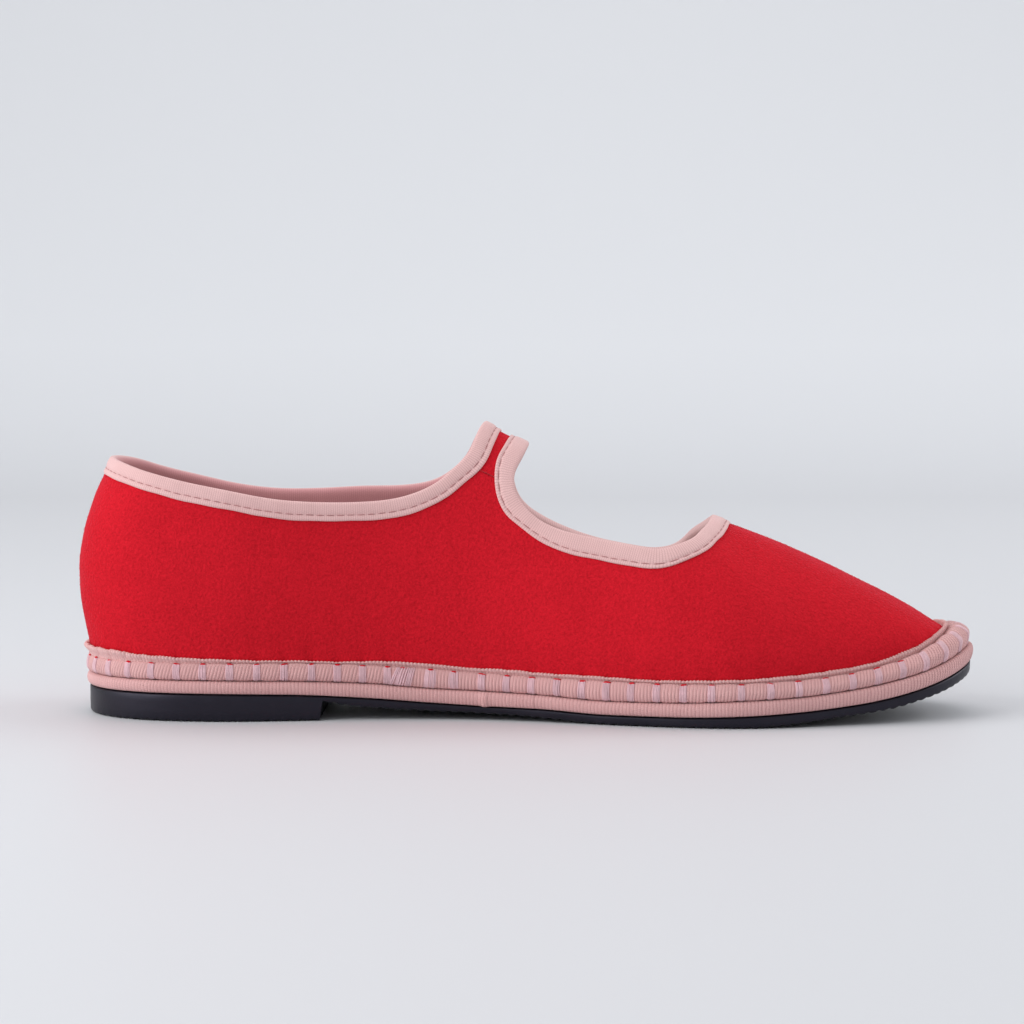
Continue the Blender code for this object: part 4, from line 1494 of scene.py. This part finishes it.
def make_whip_stitches(material, ring, places, random):
    """Floss wraps over the roll: flat bundles of strands, heavier where the floss starts and ends."""
    points = []
    faces = []
    wraps = [(place, STITCH_WIDTH, 0.0) for place in places]
    wraps += [(ring.inner_place(along), width, lean) for along, width, lean in ARCH_BUNDLES]
    shares = np.linspace(0.0, WRAP_END, 12)
    for place, width, lean in wraps:
        strands = round(width / STRAND_PITCH)
        slant = min(1.0, abs(lean))
        loose = STRAND_STRAY + SLANT_STRAY * slant
        for strand in range(strands):
            spread = width * ((strand + 0.5) / strands - 0.5)
            low = spread + random.normal(0.0, loose) + 0.5 * lean
            high = spread * BUNDLE_TOP + random.normal(0.0, loose) - 0.5 * lean
            lift = STRAND_LIFT + BUNDLE_CROWN * math.cos(2.6 * spread / width)
            lift += random.normal(0.0, STRAND_LIFT)
            lift += SLANT_LIFT * random.random() * slant
            lifts = lift - 0.5 * np.abs(shares - 0.45) ** 2
            line, outward = roll_line(place + low + (high - low) * shares, shares, lifts, ring)
            radius = STRAND_RADIUS * random.uniform(*STRAND_THICKNESS)
            tube_along(points, faces, line, outward, radius, STRAND_SIDES)
    return make_piece("whip_stitches", points, faces, material)


def make_velvet_bits(material, ring, places, random):
    """Slivers of velvet that show between the selvedge and the top of each wrap."""
    points = []
    faces = []
    spots = list(places[turn_from_heel(ring.angle(places)) < TOE_TURN])
    spots += [ring.inner_place(row[0]) for row in ARCH_BUNDLES]
    run = np.linspace(-1.0, 1.0, 9)
    for place in spots:
        half = random.uniform(*SLIVER_HALF)
        shares = SLIVER_PLACE + random.normal(0.0, 0.012) + 0.02 * run * random.normal(0.0, 1.0)
        line, outward = roll_line(place - 0.1 + run * half, shares, np.full(len(run), 0.12), ring)
        radius = random.uniform(*SLIVER_RADIUS) * np.sqrt(1.02 - run ** 2)
        tube_along(points, faces, line, outward, radius, SLIVER_SIDES)
    return make_piece("velvet_slivers", points, faces, material)


def selvedge_frame(angles, rise_height, offset):
    """Points on the velvet just above the roll, by height above the feather."""
    rise = np.maximum(rise_height, 0.0) / SELVEDGE_CLIMB
    normal = surface_frame(angles, np.maximum(rise, 0.002))[3]
    point = last_surface(angles, rise)
    point[:, 2] = feather_point(angles)[:, 2] + rise_height
    return point + normal * offset[:, None]


def make_selvedge(material, places):
    """Woven edge of the ribbon with its loops, standing against the velvet."""
    ring = Ring(PICOT_STATIONS)
    run = ring.run
    pinch, pillow = pinch_and_pillow(run, places, ring.total)
    bead = np.abs(np.sin(HALF_TURN * run * ring.rate(PICOT_PITCH)))
    slow = 0.5 * np.sin(run * 0.31) + 0.5 * np.sin(run * 0.113 + 1.0)
    rise = monotone_curve(SELVEDGE_RISE, 1)(edge_along(ring.angles))
    height = SELVEDGE_HEIGHT + rise - SELVEDGE_DIP * pinch + 0.10 * slow
    frill = 1.0 + TOE_FRILL * ramp(turn_from_heel(ring.angles), TOE_TURN, 4.0)
    top = height + PICOT_HEIGHT * frill * bead
    pucker = np.sin(run * 1.15) + 0.6 * np.sin(run * 2.3 + 0.7)
    curl = 0.22 + 0.08 * pillow + 0.08 * slow + PUCKER * np.clip(rise, 0.0, 1.5) * pucker
    rows = []
    for base, share, offset, beading in SELVEDGE_SECTION:
        away = offset + curl * share - SELVEDGE_SET_IN + beading * bead
        rows.append(selvedge_frame(ring.angles, base + share * top, away))
    across = np.linspace(0.0, SELVEDGE_ACROSS, len(rows) + 1)
    return grid_piece("ribbon_selvedge", np.stack(rows, 1), material, (True, True), ring.travel, across)


def band_loops(angles):
    """Section of the ribbon-covered midsole edge, bottom to top, with lips inward."""
    knots = np.array(BAND_SECTION)
    places = np.linspace(0, len(knots) - 1, BAND_ROWS)
    section = []
    for distance, share in zip(*[np.interp(places, np.arange(len(knots)), part) for part in knots.T]):
        along = edge_point(angles, -distance)[:, 0]
        low = RUBBER_TOP(along) + GAP / 2
        height = low + (BAND_TOP(along) - low) * share
        section.append(np.stack([np.full(len(angles), distance), height], -1))
    return np.stack(section, 1)


def make_band(material, ring):
    """Ribbon round the midsole with upright ribs and a joint at the arch."""
    loops = band_loops(ring.angles)
    rib = rib_height(ring.run * ring.rate(BAND_RIB))
    face = np.clip((3.0 - loops[..., 0]) / 2.2, 0.0, 1.0)
    loops[..., 0] -= BAND_RIB_DEPTH * rib[:, None] * face
    joint = ring.run - ring.inner_place(JOINT_PLACE)
    ridge = hump(joint, 0.0, JOINT_WIDTH)
    doubled = JOINT_DOUBLED * ramp(-joint, 0.0, 0.25) * (np.abs(joint) < JOINT_OVERLAP)
    loops[..., 0] -= JOINT_HEIGHT * (ridge + doubled)[:, None] * face
    lowered = np.clip(1.0 - 2.0 * np.linspace(0.0, 1.0, BAND_ROWS), 0.0, 1.0)
    loops[..., 1] -= JOINT_DROP * ridge[:, None] * lowered
    steps = np.linalg.norm(np.diff(loops, axis=1), axis=-1).mean(0)
    across = np.concatenate([[0.0], np.cumsum(steps), [0.0]])
    grid = place_loops(ring.angles, loops)
    return grid_piece("midsole_band", grid, material, (True, True), ring.travel, across)


def sole_underside(place, behind):
    """Height of the rubber's underside."""
    return np.where(behind, 0.0, UNDERSIDE_HEIGHT(place))


def sole_wall(ring, behind):
    """Rows of the rubber's edge from the tread up to the band."""
    bump = 0.5 - 0.5 * np.cos(FULL_TURN * ring.run * ring.rate(TREAD_PITCH))
    tread = TREAD_HEIGHT * bump ** 1.5
    rows = []
    for inside, share, lift, treaded in SOLE_WALL:
        flat = edge_point(ring.angles, -inside)
        low = sole_underside(flat[:, 0], behind)
        top = RUBBER_TOP(flat[:, 0]) - GAP / 2
        raised = np.minimum(lift, (top - low) * ROUNDED_SHARE)
        height = low + raised + (top - low - raised) * share + tread * treaded
        rows.append(np.concatenate([flat, np.minimum(height, top)[:, None]], -1))
    return rows


def make_outsole(material):
    """Rubber unit: rounded lower edge with tread bumps, flat wall, heel breast and treads below."""
    ring = Ring(SOLE_STATIONS)
    for side in (-1.0, 1.0):
        for place in (BREAST_REAR, BREAST_FRONT):
            target = side * edge_angle(place)
            ring.angles[np.argmin(np.abs(ring.angles - target))] = target
    behind = edge_along(ring.angles) < (BREAST_REAR + BREAST_FRONT) / 2
    rows = sole_wall(ring, behind)
    count = len(ring.angles)
    half = count // 2
    faces = []
    for start in range(0, (len(rows) - 1) * count, count):
        for column in range(count):
            a = start + column
            b = start + (column + 1) % count
            faces.append((a, b, b + count, a + count))
    top_start = (len(rows) - 1) * count
    for step in range(half):
        cell = (step, step + 1, count - step - 1, (count - step) % count)
        faces.append(tuple(dict.fromkeys(top_start + corner for corner in cell)))
    shares = np.linspace(0.0, 1.0, SOLE_STRIPS + 1)[1:-1]
    points = [np.concatenate(rows)]
    for step in range(1, half):
        near = rows[0][step]
        strip = near + (rows[0][count - step] - near) * shares[:, None]
        lug = np.sin(strip[:, 0] * LUG_RATE) * np.sin(strip[:, 1] * LUG_RATE)
        base = sole_underside(strip[:, 0], behind[step])
        strip[:, 2] = base + LUG_HEIGHT * np.clip(0.5 - 1.4 * lug, 0.0, 1.0)
        points.append(strip)

    def number(step, across):
        """Vertex of the underside by station and place across."""
        if step in (0, half) or across == 0:
            return step
        if across == SOLE_STRIPS:
            return count - step
        return len(rows) * count + (step - 1) * len(shares) + across - 1

    for step in range(half):
        for across in range(SOLE_STRIPS):
            cell = (number(step, across), number(step, across + 1),
                    number(step + 1, across + 1), number(step + 1, across))
            face = tuple(dict.fromkeys(cell))
            if len(face) > 2:
                faces.append(face)
    return make_piece("sole_unit", np.concatenate(points), faces, material)


def make_insole(material):
    """Cloth-covered sheet inside the shoe."""
    ring = Ring(INSOLE_STATIONS)
    reach = FEATHER_INSET(turn_from_heel(ring.angles)) + UPPER_TUCK + WALL + INSOLE_EASE
    shares = np.linspace(0.0, 1.0, INSOLE_STRIPS + 1)
    eased = shares + np.sin(FULL_TURN * shares) * -0.10
    rows = []
    for step in range(1, INSOLE_STATIONS // 2):
        ends = [step, INSOLE_STATIONS - step]
        pair = edge_point(ring.angles[ends], -reach[ends])
        strip = pair[0] + (pair[1] - pair[0]) * eased[:, None]
        edge = np.minimum(eased, 1 - eased) * np.linalg.norm(pair[1] - pair[0])
        level = BAND_TOP(strip[:, 0]) + GAP + INSOLE_THICKNESS
        level = level - INSOLE_ROUNDED * np.exp(-edge / INSOLE_ROUNDING)
        rows.append(np.concatenate([strip, level[:, None]], -1))
    along = np.arange(len(rows)) * ring.total / INSOLE_STATIONS
    across = np.linspace(0.0, 60.0, len(shares))
    return grid_piece("insole_cover", np.stack(rows, 0), material, (False, False), along, across, True)


def upper_columns(collar_edge, throat_edge, steps):
    """Top knots of the velvet's columns, and the angles where they meet the roll."""
    collar = collar_edge.covered(collar_edge.upper(steps))[::-1]
    throat = throat_edge.covered(throat_edge.upper(steps))
    shares = np.linspace(0.0, 1.0, (SEAM_STATIONS + 1) * steps + 1)[1:-1, None]
    inner_seam = collar[-1] + (throat[0] - collar[-1]) * shares
    first = collar[0] - np.array([FULL_TURN, 0.0])
    outer_seam = throat[-1] + (first - throat[-1]) * shares
    top = np.concatenate([collar, inner_seam, throat, outer_seam])
    feet = top[:, 0].copy()
    for _ in range(SMOOTHINGS * steps * steps):
        before = np.roll(feet, 1)
        before[0] += FULL_TURN
        after = np.roll(feet, -1)
        after[-1] -= FULL_TURN
        feet = 0.5 * feet + 0.25 * (before + after)
    return top, feet


def make_velvet(material, edges, ring, places):
    """Outer skin of the upper, gathered a little by the whip stitches."""
    top, feet = upper_columns(*edges, FINE_STEPS)
    wrapped = (feet + HALF_TURN) % FULL_TURN - HALF_TURN
    pinch, pillow = pinch_and_pillow(ring.place(wrapped), places, ring.total)
    tuck = offset_surface(feet, np.full(len(feet), 0.004), -0.7)
    tuck[:, 2] -= SKIN_TUCK
    rows = [tuck]
    for share in np.linspace(0.0, 1.0, VELVET_ROWS):
        rise = np.maximum(top[:, 1] * share, 0.004)
        point, _, _, normal = surface_frame(feet + (top[:, 0] - feet) * share, rise)
        fade = np.exp((feather_point(feet)[:, 2] - point[:, 2]) / GATHER_REACH)
        soft = SKIN_WAVE * np.sin(point[:, 0] * 0.42 + point[:, 2] * 0.23) * np.sin(point[:, 2] * 0.31 + 1.1)
        push = (GATHER_SWELL * pillow - GATHER_PULL * pinch) * fade
        push = push + soft * (1 - fade) * np.sin(HALF_TURN * share)
        rows.append(point + normal * push[:, None])
    rows += [offset_surface(top[:, 0], top[:, 1], -depth) for depth in TURNED_IN]
    return grid_piece("velvet_upper", np.stack(rows, 1), material, (True, False), flip=True)


def make_pile(material, skin, random):
    """Short fibres of the velvet's pile, one thin triangle each."""
    mesh = skin.data
    count = len(mesh.polygons)
    corners = np.empty(count * 4, int)
    mesh.polygons.foreach_get("vertices", corners)
    corners = corners.reshape(-1, 4)
    places = np.empty(len(mesh.vertices) * 3)
    mesh.vertices.foreach_get("co", places)
    places = places.reshape(-1, 3) / MILLIMETRE
    quad = places[corners]
    normal = np.cross(quad[:, 2] - quad[:, 0], quad[:, 3] - quad[:, 1])
    area = np.linalg.norm(normal, axis=-1)
    normal /= area[:, None]
    chosen = random.choice(count, PILE_FIBRES, p=area / area.sum())
    first = random.random((PILE_FIBRES, 1))
    second = random.random((PILE_FIBRES, 1))
    lower = quad[chosen, 0] * (1 - first) + quad[chosen, 1] * first
    upper = quad[chosen, 3] * (1 - first) + quad[chosen, 2] * first
    root = lower * (1 - second) + upper * second - normal[chosen] * PILE_ROOT
    tilt = random.normal(0.0, PILE_STRAY, (PILE_FIBRES, 3)) + np.array(PILE_LEAN)
    grow = normal[chosen] + tilt
    grow /= np.linalg.norm(grow, axis=-1, keepdims=True)
    length = PILE_LENGTH * random.uniform(*PILE_LENGTHS, (PILE_FIBRES, 1))
    wide = np.cross(grow, random.normal(0.0, 1.0, (PILE_FIBRES, 3)))
    wide *= PILE_WIDTH / 2 / np.linalg.norm(wide, axis=-1, keepdims=True)
    points = np.stack([root - wide, root + wide, root + grow * length], 1).reshape(-1, 3)
    faces = np.arange(PILE_FIBRES * 3).reshape(-1, 3)
    return make_piece("velvet_pile", points, faces.tolist(), material)


def make_lining(material, edges):
    """Inner skin of the upper."""
    top, feet = upper_columns(*edges, LINING_STEPS)
    rows = []
    for share in np.linspace(0.0, 1.0, LINING_ROWS):
        rise = np.maximum(top[:, 1] * share, 0.01)
        rows.append(offset_surface(feet + (top[:, 0] - feet) * share, rise, -WALL))
    tuck = rows[0] - np.array([0.0, 0.0, LINING_TUCK])
    return grid_piece("lining", np.stack([tuck] + rows, 1), material, (True, False))


def make_strap(material, edges):
    """Velvet bar over the instep."""
    sides = []
    for edge, turn in zip(edges, (0.0, FULL_TURN)):
        near = edge.covered(np.linspace(edge.near, edge.start, STRAP_STATIONS))
        far = edge.covered(np.linspace(edge.end, edge.far, STRAP_STATIONS))
        sides.append(np.concatenate([near, mirrored(far, -turn)[1:]]))
    rear, front = sides
    shares = np.linspace(0.0, 1.0, STRAP_ROWS)
    knots = rear[:, None, :] + (front - rear)[:, None, :] * shares[None, :, None]
    outer = last_surface(knots[..., 0], knots[..., 1])
    inner = offset_surface(knots[..., 0], knots[..., 1], -WALL)
    grid = np.concatenate([outer, inner[:, ::-1]], 1)
    return grid_piece("strap_cover", grid, material, (False, True), flip=True)


def make_tape(name, edge, material, random):
    """Ribbon folded over an edge, puffed at the fold and sunk along its stitches."""
    distances, travel = edge.even_places()
    run = travel[:-1]
    phases = random.uniform(0.0, FULL_TURN, 4)
    puff = 0.05 * np.sin(run * 0.37 + phases[0]) + 0.04 * np.sin(run * 0.9 + phases[1])
    waver = 0.07 * np.sin(run * 0.23 + phases[2]) + 0.05 * np.sin(run * 0.61 + phases[3])
    trim = edge.trim(distances)
    rows = []
    for base, value, height in TAPE_LOOK:
        depth = np.full(len(distances), value)
        if base == "leg":
            depth = edge.leg + value * edge.flange + waver - trim
        if base == "inner":
            depth = edge.leg + value + waver + INNER_LEG
        loose = 1.0 if height > TAPE_PUFFED else 0.3
        knots = edge.sunk(distances, depth)
        rows.append(offset_surface(knots[:, 0], knots[:, 1], height + puff * loose))
    grid = np.stack(rows, 1)
    return grid_piece(name, grid, material, (True, True), travel, distance_across(grid))


def tube_along(points, faces, line, outward, radius, sides):
    """Add one closed thread along a line of points."""
    side = unit(np.cross(unit(np.gradient(line, axis=0)), outward))
    start = len(points)
    steps = len(line)
    radii = np.broadcast_to(radius, steps)
    for step in range(steps):
        for corner in range(sides):
            turn = FULL_TURN * corner / sides
            away = math.cos(turn) * side[step] + math.sin(turn) * outward[step]
            points.append(line[step] + radii[step] * away)
    for step in range(steps - 1):
        for corner in range(sides):
            a = start + step * sides + corner
            b = start + step * sides + (corner + 1) % sides
            faces.append((a, a + sides, b + sides, b))
    last = start + (steps - 1) * sides
    faces.append(tuple(range(start, start + sides)))
    faces.append(tuple(reversed(range(last, last + sides))))


def make_seam_stitches(material, edges, random):
    """Machine stitches along both bindings."""
    points = []
    faces = []
    along = np.linspace(-0.5, 0.5, 7)
    for edge in edges:
        distances, travel = edge.even_places()
        count = round(travel[-1] / SEAM_PITCH)
        for number in range(count):
            centre = (number + 0.5) * travel[-1] / count
            places = centre + along * SEAM_LENGTH * random.uniform(0.92, 1.05)
            spots = np.interp(places, travel[:-1], distances)
            depth = edge.leg - SEAM_FROM_EDGE * edge.flange + random.normal(0.0, 0.03) - edge.trim(spots)
            knots = edge.sunk(spots, depth)
            height = SEAM_LOW + SEAM_ARCH * np.sin(HALF_TURN * np.linspace(0.0, 1.0, len(along))) ** 0.6
            line = offset_surface(knots[:, 0], knots[:, 1], height)
            outward = surface_frame(knots[:, 0], knots[:, 1])[3]
            tube_along(points, faces, line, outward, SEAM_RADIUS, SEAM_SIDES)
    return make_piece("binding_stitches", points, faces, material)


def make_strap_seams(material, edges, random):
    """Seams at the foot of the strap on both sides: a furrow's thread with short stitches."""
    points = []
    faces = []
    collar, throat = [edge.covered(np.array([edge.near, edge.far])) for edge in edges]
    throat[1] += np.array([FULL_TURN, 0.0])
    for rear, front in zip(collar, throat):
        length = np.linalg.norm(last_surface(rear[0], rear[1]) - last_surface(front[0], front[1]))
        count = round(length / STRAP_SEAM_PITCH)
        for stitch in range(count):
            shares = (stitch + 0.5 + np.linspace(-0.42, 0.42, 5)) / count
            knots = rear + (front - rear) * shares[:, None]
            knots[:, 1] += random.normal(0.0, 0.0015)
            height = STRAP_SEAM_LOW + STRAP_SEAM_ARCH * np.sin(HALF_TURN * np.linspace(0.0, 1.0, len(shares)))
            line = offset_surface(knots[:, 0], knots[:, 1], height)
            outward = surface_frame(knots[:, 0], knots[:, 1])[3]
            tube_along(points, faces, line, outward, STRAP_SEAM_RADIUS, SEAM_SIDES)
    return make_piece("strap_seams", points, faces, material)


def add_area_light(name, place, target, size, power):
    """Soft rectangular studio light."""
    data = bpy.data.lights.new(name, "AREA")
    data.shape = "RECTANGLE"
    data.size, data.size_y = size
    data.energy = power
    light = bpy.data.objects.new(name, data)
    light.location = place
    direction = Vector(target) - Vector(place)
    light.rotation_euler = direction.to_track_quat("-Z", "Y").to_euler()
    bpy.context.scene.collection.objects.link(light)


def make_studio():
    """Seamless pale sweep with painted shade on its floor, soft lights and the world."""
    nodes = Nodes("studio_sweep", STUDIO_WALL, roughness=0.5, specular=0.2)
    depth = nodes.add("ShaderNodeSeparateXYZ", Vector=object_place(nodes)).outputs["Y"]
    nodes.set("Base Color", nodes.blend(nodes.span(depth, *SWEEP_BLEND), STUDIO_FLOOR, STUDIO_WALL))
    profile = [(SWEEP_FRONT, 0.0), (SWEEP_BEND, 0.0)]
    for turn in np.linspace(0.0, QUARTER_TURN, 25)[1:]:
        profile.append((SWEEP_BEND + SWEEP_RADIUS * math.sin(turn), SWEEP_RADIUS * (1 - math.cos(turn))))
    profile.append((SWEEP_BEND + SWEEP_RADIUS, SWEEP_TOP))
    points = []
    for along, height in profile:
        for side in (-SWEEP_HALF, SWEEP_HALF):
            points.append(np.array([side, along, height]) / MILLIMETRE)
    faces = []
    for first in range(0, len(points) - 2, 2):
        faces.append((first, first + 1, first + 3, first + 2))
    floor = make_piece("studio_sweep", points, faces, nodes.material)
    for row in LIGHTS:
        add_area_light(*row)
    world = bpy.data.worlds.new("studio")
    world.use_nodes = True
    background = world.node_tree.nodes["Background"]
    background.inputs["Color"].default_value = (*SKY, 1.0)
    background.inputs["Strength"].default_value = SKY_STRENGTH
    bpy.context.scene.world = world


def make_camera():
    """Camera at the photograph's angle."""
    data = bpy.data.cameras.new("camera")
    data.sensor_width = SENSOR
    data.lens = CAMERA_LENS
    camera = bpy.data.objects.new("camera", data)
    camera.location = CAMERA_PLACE
    camera.rotation_euler = (math.radians(90.0 - CAMERA_DOWN), 0.0, 0.0)
    bpy.context.scene.collection.objects.link(camera)
    bpy.context.scene.camera = camera
    view = bpy.context.scene.view_settings
    view.view_transform = "Standard"
    view.look = "None"


def main():
    """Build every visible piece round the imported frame."""
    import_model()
    make_camera()
    make_studio()
    random = np.random.default_rng(SEED)
    velvet = velvet_material()
    roll_ribbon = ribbon_material("roll_ribbon", ROLL_RIB, ROLL_WEFT, RIBBON_BUMP, RIBBON_COLOURS)
    band_ribbon = ribbon_material("band_ribbon", BAND_RIB, BAND_WEFT, RIBBON_BUMP, RIBBON_COLOURS)
    edge_ribbon = ribbon_material("edge_ribbon", PICOT_PITCH, TAPE_WEFT, SELVEDGE_BUMP, SELVEDGE_COLOURS)
    # The collar's binding gets painted shade on its inner side; the throat's binding has none
    collar_tape_shaded_inside = ribbon_material("binding_ribbon", TAPE_RIB, TAPE_WEFT, TAPE_BUMP,
                                TAPE_COLOURS, TAPE_INSIDE_SHADE)
    light_tape = ribbon_material("throat_ribbon", TAPE_RIB, TAPE_WEFT, TAPE_BUMP, TAPE_COLOURS)
    floss = thread_material("floss", THREAD)
    seam_thread = thread_material("seam_thread", SEAM_THREAD)
    velvet_thread = thread_material("velvet_thread", VELVET_DEEP)
    cotton = cotton_material()
    ring = Ring(ROUND_STATIONS)
    places = stitch_places(ring)
    collar_edge = Edge(collar_curve(), COLLAR_SIDE, COLLAR_LEG, COLLAR_FLANGE,
                       SEAM_AT_COLLAR, COLLAR_STATIONS)
    throat_edge = Edge(throat_curve(), THROAT_SIDE, THROAT_LEG, THROAT_FLANGE,
                       SEAM_AT_THROAT, THROAT_STATIONS)
    edges = (collar_edge, throat_edge)
    dress(make_outsole(rubber_material()), "sole_rubber", "outsole")
    dress(make_band(band_ribbon, ring), "grosgrain_tape", "midsole")
    dress(make_roll(roll_ribbon, ring, places), "grosgrain_tape", "edge_roll")
    dress(make_whip_stitches(floss, ring, places, random), "grosgrain_tape")
    dress(make_selvedge(edge_ribbon, places), "grosgrain_tape")
    dress(make_velvet_bits(velvet, ring, places, random), "velvet")
    skin = dress(make_velvet(velvet, edges, ring, places), "velvet", "upper")
    dress(make_pile(velvet, skin, random), "velvet")
    dress(make_lining(cotton, edges), "insole_cloth")
    dress(make_strap(velvet, edges), "velvet", "strap")
    collar = make_tape("collar_ribbon", collar_edge, collar_tape_shaded_inside, random)
    dress(collar, "grosgrain_tape", "collar_binding")
    throat = make_tape("throat_ribbon", throat_edge, light_tape, random)
    dress(throat, "grosgrain_tape", "throat_binding")
    dress(make_seam_stitches(seam_thread, edges, random), "grosgrain_tape")
    dress(make_strap_seams(velvet_thread, edges, random), "velvet")
    dress(make_insole(cotton), "insole_cloth", "insole")


main()
